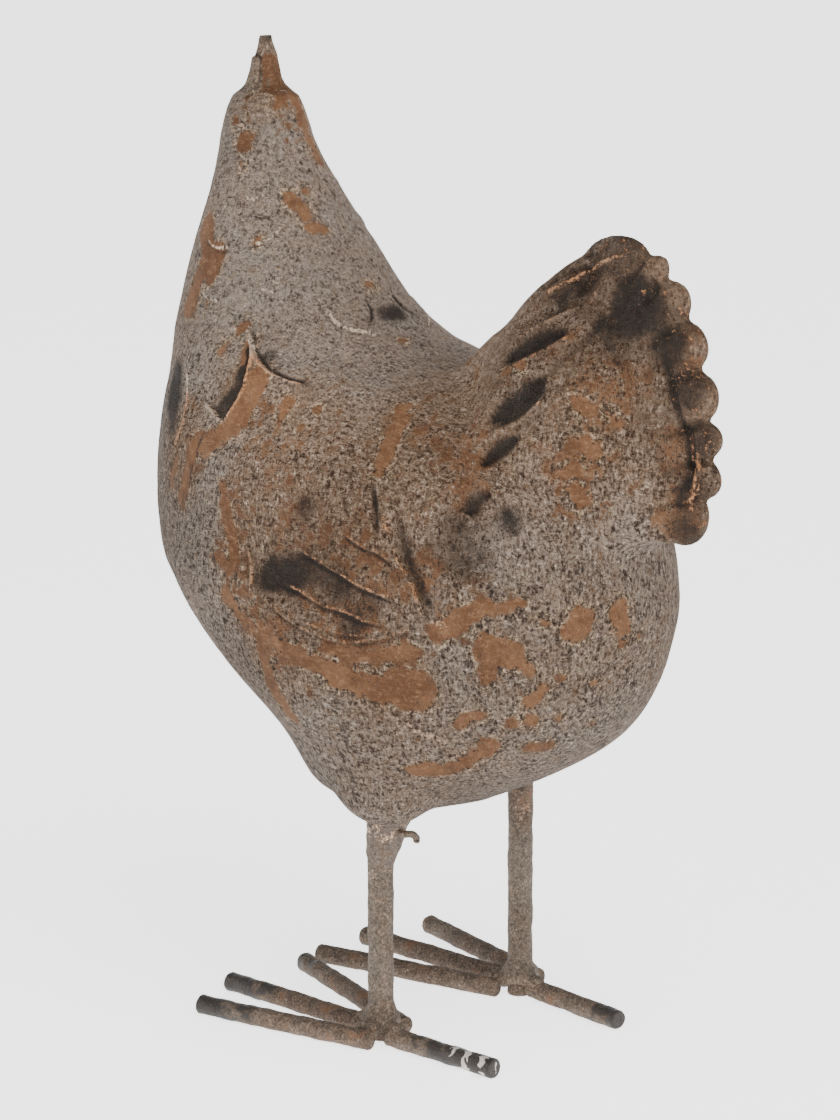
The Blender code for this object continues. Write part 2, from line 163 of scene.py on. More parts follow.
# Rounded lobes along the fan's rim, between these notches (along the body, height).
FAN_ROOT = (24, 170)
FAN_NOTCHES = [
    (64, 265), (91, 270.5), (98, 263.5), (106, 252), (111, 237), (115.5, 222), (117, 210), (115, 197),
    (102, 183),
]
LOBE_RISE = 0.32  # of the chord between two notches
LOBE_REACH = 2.0  # and this much more
TALLEST_RISE = 8.2
LOBE_DEPTH = 9.0  # half length of a lobe, towards the root
LOBE_THICKNESS = 4.6
CREST = ((32, 243), (80, 275))  # the rounded feather along the fan's front edge
CREST_RISE = 3.9
CREST_DEPTH = 8.0
CREST_THICKNESS = 7.5
RIM_SQUEEZE = 0.55  # the fan's plate is this thin, against the frame's, where the lobes sit on it
RIM_REACH = (74.0, 92.0)  # from the fan's root: the squeeze starts and is full here
RIM_INSET = 3.4  # and the rim is drawn in by this much
CUT_LENGTH = 13.0  # grooves from the notches towards the root

# Rust-brown patches where the speckled coat is missing: radius, points of the middle line.
PATCHES = [
    # head, beak and neck
    (3.2, [(14, -78, 294), (15, -78, 293)]), (1.5, [(17, -77, 286)]),
    (1.9, [(13, -85, 302), (14, -84, 300)]), (3.0, [(-2, -72, 308), (-4, -67, 299), (-6, -62, 289)]),
    (2.4, [(2, -73, 309), (6, -72, 306)]), (3.0, [(5, -80, 318), (4, -78, 312)]),
    (3.0, [(12, -58, 275), (10, -53, 271)]), (2.2, [(11, -50, 267), (8, -48, 267)]),
    (1.6, [(6, -57, 278)]), (1.7, [(25, -62, 262)]),
    (4.4, [(23, -88, 265), (28, -82, 256), (30, -85, 247), (31, -90, 239)]),
    (3.0, [(27, -77, 259), (30, -78, 250)]), (1.9, [(2, -31, 248)]), (2.0, [(5, -11, 233)]),
    (2.2, [(35, -57, 236), (36, -57, 234)]), (2.2, [(40, -62, 228)]), (1.4, [(33, -78, 240)]),
    # round the breast feathers
    (3.0, [(38, -50, 230), (43, -47, 224)]),
    (4.0, [(44, -38, 222), (49, -40, 215), (53, -43, 206), (55, -52, 200)]),
    (3.4, [(46, -37, 220), (53, -38, 208), (56, -54, 197)]),
    (3.8, [(54, -59, 199), (55, -63, 189), (55, -67, 178)]), (2.3, [(50, -74, 193), (50, -77, 182)]),
    (1.9, [(46, -10, 215)]), (2.4, [(47, -22, 216), (51, -22, 211)]), (2.2, [(52, -12, 209)]),
    # over and under the wing
    (2.9, [(33, 17, 217), (41, 21, 212), (48, 23, 205), (51, 24, 201)]),
    (2.9, [(60, -41, 186), (61, -38, 180), (63, -33, 169), (65, -29, 163)]),
    (2.2, [(64, -41, 164), (66, -26, 161)]), (2.4, [(66, -34, 154), (65, -28, 147), (65, -17, 140)]),
    (3.0, [(66, -16, 144), (65, -3, 138), (62, 12, 135)]),
    (2.8, [(62, 12, 142), (59, 25, 141), (55, 41, 145)]),
    (5.0, [(61, 14, 133), (57, 27, 130), (53, 39, 131)]), (7.6, [(54, 36, 132), (53, 41, 132)]),
    (3.4, [(64, -18, 136), (61, -16, 123), (58, -12, 114)]),
    # thigh and rump
    (3.8, [(51, 51, 153), (46, 60, 159), (44, 64, 161)]), (2.7, [(41, 68, 161), (38, 71, 163)]),
    (5.6, [(43, 65, 148), (39, 69, 146)]), (2.3, [(39, 69, 145), (34, 75, 142)]),
    (2.3, [(42, 65, 144), (42, 63, 137)]), (1.9, [(32, 78, 157)]),
    (4.5, [(23, 86, 158), (25, 84, 154)]), (3.3, [(11, 91, 161), (10, 91, 154)]), (1.9, [(9, 91, 149)]),
    (1.6, [(3, 92, 150)]), (2.3, [(32, 72, 129), (30, 76, 135)]), (2.2, [(34, 66, 122)]),
    (2.9, [(30, 70, 123)]), (2.1, [(45, 53, 122), (42, 59, 124)]),
    (2.2, [(26, 66, 113), (21, 70, 113)]), (3.4, [(37, 56, 111), (36, 59, 114)]),
    (2.8, [(37, 56, 111), (38, 47, 104), (40, 40, 101)]), (3.6, [(43, 32, 102), (41, 39, 103)]),
    (1.6, [(26, 80, 139)]), (1.6, [(16, 85, 136)]), (1.3, [(23, 76, 124)]), (1.4, [(10, 79, 120)]),
    # fan tail
    (2.6, [(18, 78, 225), (17, 82, 223)]), (2.6, [(15, 88, 224), (14, 92, 220)]),
    (3.2, [(19, 81, 212), (17, 85, 211)]), (2.6, [(22, 77, 203), (20, 80, 204)]),
    (2.8, [(21, 80, 198), (20, 83, 194)]), (2.0, [(18, 47, 231), (19, 55, 234)]),
]
PATCH_SOFTNESS = 2.4  # the patch field falls from 1 to -1 over twice this distance

# Soft round zones, alike on both sides: centre x, y and z, radius, amount. First, where the coat is worn
# to a rusty mottle.
MOTTLED_ZONES = [
    (15, 85, 228, 15, 0.75), (12, 95, 234, 11, 0.75), (19, 80, 208, 14, 0.7), (20, 80, 196, 12, 0.65),
    (10, 72, 252, 24, 0.4), (4, 108, 244, 14, 0.6), (8, 109, 214, 9, 0.95), (8, 111, 204, 9, 1.0),
    (6, 113, 194, 9, 1.0), (4, 108, 188, 11, 1.0), (40, 26, 210, 14, 0.55), (33, 46, 206, 14, 0.7),
    (40, 54, 196, 10, 0.65), (56, -30, 212, 16, 0.45), (58, -14, 200, 14, 0.45),
    (60, -36, 176, 14, 0.6), (64, -28, 160, 12, 0.6), (64, -22, 148, 12, 0.9), (64, -8, 141, 13, 0.95),
    (60, 14, 139, 14, 0.9), (56, 34, 142, 12, 0.8), (62, 20, 176, 16, 0.6), (63, -2, 176, 16, 0.5),
    (60, 22, 152, 13, 0.85), (64, 6, 158, 12, 0.6), (58, 30, 166, 12, 0.6), (53, 45, 170, 11, 1.0),
    (48, 54, 158, 12, 0.55), (40, 66, 150, 12, 0.35), (0, -72, 306, 9, 0.8), (3, -66, 296, 9, 0.9),
    (4, -60, 288, 7, 0.7), (6, -84, 308, 8, 0.45), (28, -88, 250, 12, 0.5), (52, -58, 198, 12, 0.55),
]

# Where the coat is browner than the clean grey.
WARM_ZONES = [
    (52, -15, 205, 34, 0.75), (62, -20, 175, 30, 0.8), (60, 15, 172, 34, 0.95), (45, 30, 205, 36, 0.95),
    (30, 45, 205, 34, 0.9), (12, 30, 228, 34, 0.7), (64, -10, 140, 26, 0.75), (56, 30, 140, 26, 0.65),
    (12, 70, 250, 34, 0.9), (14, 85, 225, 32, 0.8), (6, 110, 222, 34, 1.0), (4, 96, 262, 24, 1.0),
    (4, 109, 192, 15, 1.0), (2, 113, 246, 15, 1.0), (20, 80, 200, 24, 0.55), (50, -70, 192, 24, 0.8),
    (47, -46, 217, 15, 1.0), (26, 82, 150, 44, 0.5), (40, 30, 110, 44, 0.45), (4, -74, 312, 18, 0.6),
    (50, 48, 168, 20, 0.7),
]
# Dark patina in the hollows of the fan and the wing, and painted shade on the front edge of the breast,
# beside the breast feathers and in the dip behind the wing.
DARK_ZONES = [
    (8, 92, 256, 12, 0.9), (10, 84, 246, 10, 0.35), (12, 72, 252, 22, 0.15), (4, 84, 272, 11, 0.35),
    (6, 104, 243, 9, 0.5), (4, 112, 232, 8, 0.5), (14, 44, 236, 18, 0.18), (2, 110, 187, 9, 0.5),
    (3, 116, 216, 8, 0.45), (3, 106, 250, 9, 0.35), (3, 114, 200, 9, 0.4), (65, -12, 163, 8, 0.9),
    (64, -4, 164, 9, 0.9), (63, 4, 167, 8, 0.65), (61, 15, 163, 9, 0.6), (59, 27, 159, 8, 0.45),
    (60, 21, 151, 7, 0.6), (61, 0, 186, 6, 0.45), (44, -47, 221, 4.5, 0.95), (47, -47, 215, 5, 1.0),
    (49, -51, 211, 5, 0.8), (39, -40, 228, 3.5, 0.6), (36, -90, 214, 8, 0.85), (40, -86, 207, 8, 0.85),
    (44, -82, 200, 6, 0.6), (2, -22, 240, 5, 0.9), (46, 55, 180, 16, 0.32), (35, 66, 188, 6, 0.6),
]
# Where the coat is scaled darker: painted shade on the front of the head, neck and breast, and darker over
# the fan tail and the wing.
DARKENED_ZONES = [
    (10, 72, 256, 34, 0.52), (8, 92, 250, 22, 0.4), (4, 110, 236, 16, 0.5), (18, 52, 238, 20, 0.5),
    (14, 86, 224, 28, 0.4), (5, 114, 212, 16, 0.3), (58, 16, 184, 24, 0.4), (63, 2, 170, 22, 0.2),
    (34, -96, 190, 44, 0.85), (54, -72, 172, 34, 0.6), (60, -34, 128, 26, 0.55),
    (24, -96, 240, 34, 0.75), (10, -92, 290, 26, 0.65),
]
# Painted light: the coat is scaled lighter over the saddle, along the back and on the belly above the legs.
PAINTED_LIGHT_ZONES = [(36, -14, 216, 36, 1.0), (20, 20, 222, 26, 0.8), (34, 12, 88, 18, 0.9)]
VIEWED_SIDE = (0.707, 0.707, 0.0)  # towards the photo's camera
TURNED_AWAY = -0.12  # faces turned further from it than this have patches of their own
SHADE_HEIGHTS = (120.0, 235.0)  # painted shade: the coat is darker further down
BASE_HEIGHTS = (82.0, 112.0)  # and darker still here, as painted shade
CALM_HEIGHTS = (195.0, 240.0)  # its speckle is calmer further up
EDGE_REACH = (86.0, 94.0)  # the fan's rubbed edge, from its root
LOBE_SHADE_REACH = (80.0, 90.0)  # and its darker lobes

# ---------------------------------------------------------------- legs and feet
LEG_RADIUS = 4.4
LEGS = {"left": (32.3, 4.7), "right": (-33.0, 6.9)}
LEG_TOP = 104.0  # the rest of the rod is inside the casting
LEG_FLECKS = {"left": 58.0, "right": 66.0}  # height where the coat is rubbed
TOE_RADIUS = 3.4
TOES = {  # tip, butt
    "left_outer_toe": ((59.3, -56.4), (43.0, 10.9)),
    "left_middle_toe": ((36.2, -66.8), (32.3, -0.4)),
    "left_inner_toe": ((3.5, -63.6), (25.0, 8.8)),
    "left_hind_toe": ((32.7, 58.1), (35.5, 11.4)),
    "right_outer_toe": ((-57.0, -61.6), (-42.5, 6.9)),
    "right_middle_toe": ((-31.5, -69.1), (-35.0, -1.4)),
    "right_inner_toe": ((-6.5, -66.6), (-24.6, 4.4)),
    "right_hind_toe": ((-30.3, 55.9), (-33.0, 12.2)),
}
BLACK_TIPS = {  # length of the black paint
    "left_outer_toe": 17.0, "left_middle_toe": 15.0, "left_hind_toe": 27.0, "left_inner_toe": 3.0,
    "right_hind_toe": 4.0,
}
CHIPPED_TOE = "left_hind_toe"
ROD_PITCH = 1.3
ROD_SIDES = 26
ROD_BEVEL = 0.7
ROD_END = ((0.0, 1.0), (0.25, 0.45), (1.0, 0.0))  # shares of the bevel, along the rod and off its radius
COLLARS = {  # foot, top, bulge, heading of the bulge
    "left": (60.0, 84.0, 5.2, math.radians(135.0)),
    "right": (78.0, 92.0, 2.0, math.radians(60.0)),
}
COLLAR_SIDES = 40
COLLAR_PITCH = 0.9
WELD_ROWS = ((7.5, 4.0, 2.9), (10.0, 3.1, 2.3), (12.2, 2.7, 2.0))  # height, distance out, size
WELD_VOXEL = 0.62
PLUG_SIDES = 48
PLUG_PROFILE = ((0.35, -0.35), (0.65, -0.3), (0.85, -0.1), (1.0, 0.5), (1.0, 6.0))  # share of width, lift
STUB_SIDES = 14
STUB_RADIUS = 1.2
STUB_PATH = [
    (32.0, 9.0, 73.2), (31.8, 12.0, 73.5), (31.5, 14.6, 73.6), (30.2, 15.0, 73.4), (28.9, 15.6, 73.3),
    (27.8, 16.2, 72.6), (27.1, 16.4, 71.4), (27.2, 16.3, 70.1),
]


def plain(box):
    return [[float(value) for value in corner] for corner in box]


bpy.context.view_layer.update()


# ================================================================ node helpers
class Nodes:
    """Builds a material's node tree: each method adds one node and returns its output socket."""

    def __init__(self, name):
        self.material = bpy.data.materials.new(name)
        self.material.use_nodes = True
        self.tree = self.material.node_tree
        self.shader = self.tree.nodes["Principled BSDF"]

    def add(self, kind, settings=None, **sockets):
        node = self.tree.nodes.new(kind)
        for key, value in (settings or {}).items():
            setattr(node, key, value)
        for key, value in sockets.items():
            self.feed(node.inputs[key.replace("_", " ")], value)
        return node

    def feed(self, socket, value):
        if isinstance(value, bpy.types.NodeSocket):
            self.tree.links.new(value, socket)
        elif isinstance(value, tuple) and socket.type == "RGBA" and len(value) == 3:
            socket.default_value = (*value, 1.0)
        else:
            socket.default_value = value

    def object_coords(self, stretch=(1.0, 1.0, 1.0), turn=(0.0, 0.0, 0.0)):
        coords = self.add("ShaderNodeTexCoord").outputs["Object"]
        mapping = self.add("ShaderNodeMapping", Vector=coords, Scale=stretch, Rotation=turn)
        return mapping.outputs["Vector"]

    def noise(self, coords, period, detail=3.0, roughness=0.6, distortion=0.0):
        """Noise in 0 to 1 whose largest features are about one period, in millimetres, apart."""
        look = {"Detail": detail, "Roughness": roughness, "Distortion": distortion}
        node = self.add("ShaderNodeTexNoise", Vector=coords, Scale=1.0 / (period * MM), **look)
        return node.outputs["Fac"]

    def attribute(self, name):
        return self.add("ShaderNodeAttribute", {"attribute_name": name}).outputs["Fac"]

    def maths(self, operation, a, b=0.0):
        node = self.add("ShaderNodeMath", {"operation": operation})
        self.feed(node.inputs[0], a)
        self.feed(node.inputs[1], b)
        return node.outputs[0]

    def product(self, a, b):
        return self.maths("MULTIPLY", a, b)

    def total(self, *terms):
        """Sum of (socket, factor) terms and plain numbers."""
        result = 0.0
        for term in terms:
            if isinstance(term, tuple):
                term = self.product(*term)
            result = self.maths("ADD", result, term)
        return result

    def smooth(self, value, low, high):
        """0 below low, 1 above high, smooth between."""
        curve = {"interpolation_type": "SMOOTHSTEP"}
        node = self.add("ShaderNodeMapRange", curve, Value=value, From_Min=low, From_Max=high)
        return node.outputs["Result"]

    def ramp(self, value, stops):
        node = self.add("ShaderNodeValToRGB", Fac=value)
        elements = node.color_ramp.elements
        first, last = elements[0], elements[1]
        first.position, first.color = stops[0][0], (*stops[0][1], 1.0)
        last.position, last.color = stops[-1][0], (*stops[-1][1], 1.0)
        for position, colour in stops[1:-1]:
            elements.new(position).color = (*colour, 1.0)
        return node.outputs["Color"]

    def mix(self, factor, a, b):
        node = self.add("ShaderNodeMix", {"data_type": "RGBA"})
        self.feed(node.inputs[0], factor)
        self.feed(node.inputs[6], a)
        self.feed(node.inputs[7], b)
        return node.outputs[2]

    def bump(self, height, depth_mm, below=None):
        node = self.add("ShaderNodeBump", Strength=1.0, Distance=depth_mm * MM, Height=height)
        if below is not None:
            self.feed(node.inputs["Normal"], below)
        return node.outputs["Normal"]

    def scaled(self, colour, factor):
        node = self.add("ShaderNodeVectorMath", {"operation": "SCALE"})
        self.feed(node.inputs[0], colour)
        self.feed(node.inputs["Scale"], factor)
        return node.outputs[0]

    def finish(self, colour, roughness, normal, metallic=0.0, specular=0.35):
        looks = {"Base Color": colour, "Roughness": roughness, "Normal": normal, "Metallic": metallic}
        looks["Specular IOR Level"] = specular
        for name, value in looks.items():
            self.feed(self.shader.inputs[name], value)
        return self.material


def rgb(red, green, blue):
    """A display colour of 0 to 255 values as the linear values that a shader takes."""
    linear = []
    for value in (red, green, blue):
        share = value / 255.0
        linear.append(share / 12.92 if share <= 0.04045 else ((share + 0.055) / 1.055) ** 2.4)
    return tuple(linear)


# Coat colours from the darkest speckle to the brightest.
GREY_COAT = [
    (0.22, rgb(44, 36, 31)), (0.34, rgb(82, 70, 61)), (0.45, rgb(112, 98, 88)),
    (0.57, rgb(130, 116, 105)), (0.68, rgb(156, 140, 127)), (0.84, rgb(214, 195, 177)),
]
BLUE_GREY_COAT = [
    (0.22, rgb(43, 37, 34)), (0.34, rgb(80, 71, 64)), (0.45, rgb(110, 99, 90)),
    (0.57, rgb(128, 117, 107)), (0.68, rgb(152, 139, 128)), (0.84, rgb(213, 197, 181)),
]
BROWN_COAT = [
    (0.22, rgb(44, 33, 26)), (0.34, rgb(72, 56, 44)), (0.46, rgb(98, 80, 65)),
    (0.58, rgb(122, 103, 87)), (0.68, rgb(156, 137, 120)), (0.82, rgb(214, 192, 168)),
]
IRON_COAT = [
    (0.22, rgb(46, 40, 34)), (0.34, rgb(84, 74, 64)), (0.45, rgb(112, 101, 89)),
    (0.57, rgb(130, 118, 104)), (0.68, rgb(152, 139, 124)), (0.84, rgb(206, 190, 172)),
]
RUST = rgb(104, 74, 52)
DEEP_RUST = rgb(86, 58, 39)
LIGHT_RUST = rgb(132, 100, 74)
PALE_RIM = rgb(184, 158, 130)
PATINA_AND_SHADE = rgb(34, 31, 29)
PALE_WEAR = rgb(186, 166, 146)
COPPER_WEAR = rgb(166, 120, 86)
IRON_RUST = rgb(122, 86, 58)
BLACK_PAINT = rgb(40, 34, 30)
PAINT_CHIP = rgb(232, 222, 212)
BRIGHT_IRON = rgb(222, 184, 152)
MORTAR_WEAR = rgb(196, 168, 140)
BAR_COLOURS = (rgb(128, 82, 54), rgb(58, 42, 34))  # light, dark
WIRE_COLOURS = (rgb(96, 66, 48), rgb(44, 36, 32))


def cast_stone():
    """Speckled coat with flat rust patches, dark patina and painted shade in the hollows, and wear on the
    ridges; painted shade scales the coat darker low down and on the front, painted light scales it lighter
    over the saddle.
    """
    n = Nodes("cast_stone")
    upright = n.object_coords(stretch=(1.0, 1.0, 0.42), turn=(0.5, 0.3, 0.0))
    leaning = n.object_coords(stretch=(1.0, 0.40, 1.0), turn=(0.9, 0.0, 0.4))
    plain = n.object_coords()
    fine = n.noise(upright, 0.95, detail=2.0, roughness=0.65, distortion=0.5)
    strands = n.noise(leaning, 1.05, detail=2.5, roughness=0.7, distortion=0.8)
    clumps = n.noise(plain, 4.5, detail=3.5, roughness=0.65)
    drift = n.noise(plain, 22.0, detail=2.0)
    curl = n.noise(plain, 2.1, detail=1.0, distortion=1.2)
    fibre = n.total(1.0, (n.smooth(n.maths("ABSOLUTE", n.total(curl, -0.5)), 0.0, 0.045), -1.0))
    worn_field = n.attribute("worn")

    uneven = n.total((fine, 0.85), (strands, 0.85), (clumps, 0.45), (fibre, 0.14), -1.12)
    grain = n.total(n.product(uneven, n.attribute("busy")), 0.5)
    warmth = n.smooth(n.total(n.attribute("warm"), (clumps, 1.2), (drift, 0.8), -1.0), 0.05, 0.95)
    grey = n.mix(n.smooth(drift, 0.44, 0.62), n.ramp(grain, GREY_COAT), n.ramp(grain, BLUE_GREY_COAT))
    coat = n.mix(warmth, grey, n.ramp(grain, BROWN_COAT))

    mottle = n.total(
        (warmth, 0.42), (n.attribute("mottled"), 0.60), (clumps, 3.6), (fine, 1.3), (strands, 0.9), -3.60
    )
    patch = n.total(n.attribute("rust"), (clumps, 2.6), (fine, 1.1), (strands, 1.1), -2.40)
    bare = n.maths("MAXIMUM", n.smooth(patch, -0.12, 0.20), n.smooth(mottle, -0.05, 0.40))
    rim_inside = n.smooth(patch, -0.85, -0.30)
    rim_outside = n.total(1.0, (n.smooth(patch, -0.10, 0.15), -1.0))
    rim_broken = n.smooth(n.total(strands, (fine, 0.8), (fibre, 0.10)), 0.84, 1.04)
    rim = n.product(n.product(rim_inside, rim_outside), rim_broken)
    rim = n.product(rim, n.total(1.0, (warmth, -0.45)))
    rust = n.mix(n.smooth(n.total(drift, (clumps, 0.5)), 0.66, 0.88), RUST, DEEP_RUST)
    rust = n.mix(n.smooth(n.total(strands, (fibre, 0.06)), 0.48, 0.78), rust, LIGHT_RUST)

    dark = n.total(n.attribute("dark"), (fine, 1.5), (strands, 1.6), (clumps, 1.8), -2.45)
    dark = n.smooth(dark, 0.08, 0.92)
    worn = n.smooth(n.total(worn_field, (fine, 2.2), (strands, 2.0), (clumps, 1.2), -2.7), 0.40, 1.00)
    worn = n.product(worn, n.smooth(worn_field, 0.02, 0.30))

    colour = n.mix(rim, coat, PALE_RIM)
    colour = n.mix(n.product(bare, 0.96), colour, rust)
    # Patina, and painted shade beside the marks and on the front edge of the breast
    colour = n.mix(n.product(dark, 0.93), colour, PATINA_AND_SHADE)
    colour = n.mix(worn, colour, n.mix(warmth, PALE_WEAR, COPPER_WEAR))
    # Painted shade and light: the coat is scaled darker low down and on the front of the head, neck and
    # breast, and lighter over the saddle and the back
    colour = n.scaled(colour, n.total(0.96, (n.attribute("grime"), -0.25)))

    flat = n.maths("MAXIMUM", bare, n.product(dark, 0.4))
    grain_height = n.product(n.total(grain, -0.5), n.total(1.0, (flat, -0.70)))
    normal = n.bump(n.total((rim, 0.5), (fibre, 0.10)), 0.3)
    normal = n.bump(grain_height, 0.9, below=normal)
    roughness = n.total(0.86, (bare, -0.10), (dark, -0.08), (worn, -0.30))
    return n.finish(colour, roughness, normal, metallic=n.product(worn, 0.3), specular=0.06)


def coated_iron():
    """The same rough coat over bar: finer, browner towards the feet, black paint at some tips."""
    n = Nodes("coated_iron")
    coords = n.object_coords()
    fine = n.noise(coords, 0.8, detail=2.5, roughness=0.65, distortion=0.5)
    clumps = n.noise(coords, 4.0, detail=3.0)
    drift = n.noise(coords, 14.0, detail=2.0)
    black_field = n.attribute("black")
    warm_field = n.attribute("warm")

    grain = n.total((fine, 0.95), (clumps, 0.50), -0.22)
    blotches = n.noise(coords, 7.0, detail=3.0, roughness=0.6)
    warmth = n.smooth(n.total(warm_field, (clumps, 1.2), (drift, 1.0), -1.05), 0.1, 0.9)
    coat = n.mix(warmth, n.ramp(grain, IRON_COAT), n.ramp(grain, BROWN_COAT))
    rusty = n.smooth(n.total((warm_field, 0.22), clumps, (drift, 0.5), (fine, 0.2)), 1.10, 1.22)
    colour = n.mix(n.product(rusty, 0.75), coat, IRON_RUST)
    black = n.smooth(n.total(black_field, (blotches, 4.0), (clumps, 2.0), (fine, 1.2), -3.6), 0.20, 0.65)
    black = n.product(black, n.smooth(black_field, 0.0, 0.25))
    colour = n.mix(n.product(black, 0.92), colour, BLACK_PAINT)
    flakes = n.noise(coords, 5.0, detail=2.0, distortion=0.6)
    chips = n.smooth(n.total(n.attribute("chips"), (flakes, 3.0), -2.28), 0.28, 0.36)
    colour = n.mix(chips, colour, PAINT_CHIP)
    worn = n.smooth(n.total(n.attribute("worn"), (fine, 1.2), (clumps, 0.8), -1.0), 0.40, 0.85)
    colour = n.mix(worn, colour, BRIGHT_IRON)

    colour = n.scaled(colour, n.total(0.54, (n.attribute("pale"), 0.06)))
    height = n.total((grain, 1.0), (black, -0.25), (chips, -0.4), (rusty, -0.15))
    normal = n.bump(height, 0.9)
    roughness = n.total(0.80, (black, -0.28), (worn, -0.35))
    return n.finish(colour, roughness, normal, metallic=n.product(worn, 0.5))


def mortar():
    n = Nodes("mortar")
    coords = n.object_coords()
    fine = n.noise(coords, 0.9, detail=3.0, roughness=0.7)
    clumps = n.noise(coords, 3.5, detail=3.0)
    grain = n.total((fine, 0.75), (clumps, 0.5), -0.125)
    colour = n.mix(n.smooth(clumps, 0.42, 0.60), n.ramp(grain, GREY_COAT), n.ramp(grain, BROWN_COAT))
    worn = n.smooth(n.total(n.attribute("worn"), (fine, 1.4), (clumps, 1.4), -1.55), 0.40, 0.75)
    colour = n.mix(worn, n.scaled(colour, 0.60), MORTAR_WEAR)
    roughness = n.total(0.85, (worn, -0.45))
    return n.finish(colour, roughness, n.bump(grain, 1.2), metallic=n.product(worn, 0.6))


def bare_iron(name, light, dark):
    """Rusty bar or wire that the casting hides."""
    n = Nodes(name)
    coords = n.object_coords()
    fine = n.noise(coords, 0.8, detail=3.0, roughness=0.7)
    clumps = n.noise(coords, 3.0, detail=3.0)
    colour = n.mix(n.smooth(n.total(fine, clumps), 0.85, 1.15), dark, light)
    return n.finish(colour, n.total(0.6, (clumps, 0.4)), n.bump(fine, 0.3), metallic=0.55)


def studio_floor():
    n = Nodes("studio_floor")
    grain = n.noise(n.object_coords(), 8.0, detail=4.0)
    colour = n.mix(n.smooth(grain, 0.3, 0.7), (0.93, 0.93, 0.93), (0.95, 0.95, 0.95))
    n.shader.inputs["Emission Color"].default_value = (1.0, 1.0, 1.0, 1.0)
    n.shader.inputs["Emission Strength"].default_value = FLOOR_GLOW
    return n.finish(colour, 0.9, n.bump(grain, 0.05), specular=0.1)


# ================================================================ mesh helpers
def new_object(name, data):
    obj = bpy.data.objects.new(name, data)
    bpy.context.scene.collection.objects.link(obj)
    return obj


def mesh_object(name, mesh, material):
    mesh.name = name
    mesh.materials.clear()
    mesh.materials.append(material)
    mesh.shade_smooth()
    return new_object(name, mesh)


def from_bmesh(name, bm, material):
    bmesh.ops.recalc_face_normals(bm, faces=bm.faces)
    mesh = bpy.data.meshes.new(name)
    bm.to_mesh(mesh)
    bm.free()
    return mesh_object(name, mesh, material)


def voxel_remeshed(mesh, voxel):
    """A new mesh of even quads round this one, in millimetres."""
    carrier = new_object("remesh_carrier", mesh)
    modifier = carrier.modifiers.new("remesh", "REMESH")
    modifier.mode = "VOXEL"
    modifier.voxel_size = voxel
    graph = bpy.context.evaluated_depsgraph_get()
    result = bpy.data.meshes.new_from_object(carrier.evaluated_get(graph))
    bpy.data.objects.remove(carrier, do_unlink=True)
    return result


def read_vectors(items, key):
    values = np.empty(len(items) * 3, np.float32)
    items.foreach_get(key, values)
    return values.reshape(-1, 3).astype(float)


def read_points(mesh):
    return read_vectors(mesh.vertices, "co")


def read_normals(mesh):
    return read_vectors(mesh.vertex_normals, "vector")


def write_points(mesh, points):
    mesh.vertices.foreach_set("co", points.astype(np.float32).ravel())
    mesh.update()


def paint(mesh, **layers):
    """Stores each layer as an attribute: one value for the whole mesh, or one for each vertex."""
    for name, values in layers.items():
        layer = mesh.attributes.new(name, "FLOAT", "POINT")
        layer.data.foreach_set("value", np.broadcast_to(values, len(mesh.vertices)).astype(np.float32))


def skin_rings(bm, rings, capped=True):
    """Faces from each ring of vertices to the next, and over both ends."""
    for lower, upper in zip(rings, rings[1:]):
        for k in range(len(lower)):
            j = (k + 1) % len(lower)
            bm.faces.new((lower[k], lower[j], upper[j], upper[k]))
    if capped:
        bm.faces.new(list(reversed(rings[0])))
        bm.faces.new(rings[-1])


def around(sides):
    return [2.0 * math.pi * k / sides for k in range(sides)]


def to_metres(bm):
    bmesh.ops.scale(bm, vec=(MM,) * 3, verts=bm.verts)


def neighbours(mesh):
    """The pairs of vertices that edges join, and each vertex's number of edges."""
    pairs = np.empty(len(mesh.edges) * 2, np.int32)
    mesh.edges.foreach_get("vertices", pairs)
    return pairs.reshape(-1, 2), np.bincount(pairs, minlength=len(mesh.vertices)).astype(float)


def neighbour_mean(values, links):
    """Mean over each vertex's neighbours, for one column or several."""
    pairs, counts = links
    table = values.reshape(len(values), -1)
    mean = np.empty_like(table)
    for column in range(table.shape[1]):
        total = np.bincount(pairs[:, 0], table[pairs[:, 1], column], len(table))
        total += np.bincount(pairs[:, 1], table[pairs[:, 0], column], len(table))
        mean[:, column] = total / counts
    return mean.reshape(values.shape)


def relax(points, links, weight, rounds):
    """Moves the points towards the mean of their neighbours, in place, most where the weight is 1."""
    for _ in range(rounds):
        points += (neighbour_mean(points, links) - points) * (0.9 * weight)[:, None]


def smoothstep(values, low, high):
    share = np.clip((values - low) / (high - low), 0.0, 1.0)
    return share * share * (3.0 - 2.0 * share)


def noise_at(points, period, seed=0):
    """Smooth noise of about -1 to 1 at each point, with features about one period apart."""
    shift = Vector((seed * 17.3, seed * 5.7, seed * 11.9))
    return np.array([noise.noise(Vector(point) / period + shift) for point in points])


def smooth_curve(points, step):
    """Points about one step apart on a Catmull-Rom curve through these."""
    path = [Vector(point) for point in points]
    path = [path[0] * 2.0 - path[1]] + path + [path[-1] * 2.0 - path[-2]]
    curve = []
    for a, b, c, d in zip(path, path[1:], path[2:], path[3:]):
        count = max(1, round((c - b).length / step))
        for i in range(count):
            t = i / count
            curve.append(
                0.5 * (2.0 * b + (c - a) * t + (2.0 * a - 5.0 * b + 4.0 * c - d) * t**2
                       + (3.0 * b - 3.0 * c + d - a) * t**3)
            )
    curve.append(path[-2])
    return curve


def mirrored(points):
    return [(-x, y, z) for x, y, z in points]


# ================================================================ casting
def fan_reach(along, height):
    """Distance from the fan's root, for places behind it."""
    return np.where(along > FAN_ROOT[0], np.hypot(along - FAN_ROOT[0], height - FAN_ROOT[1]), 0.0)


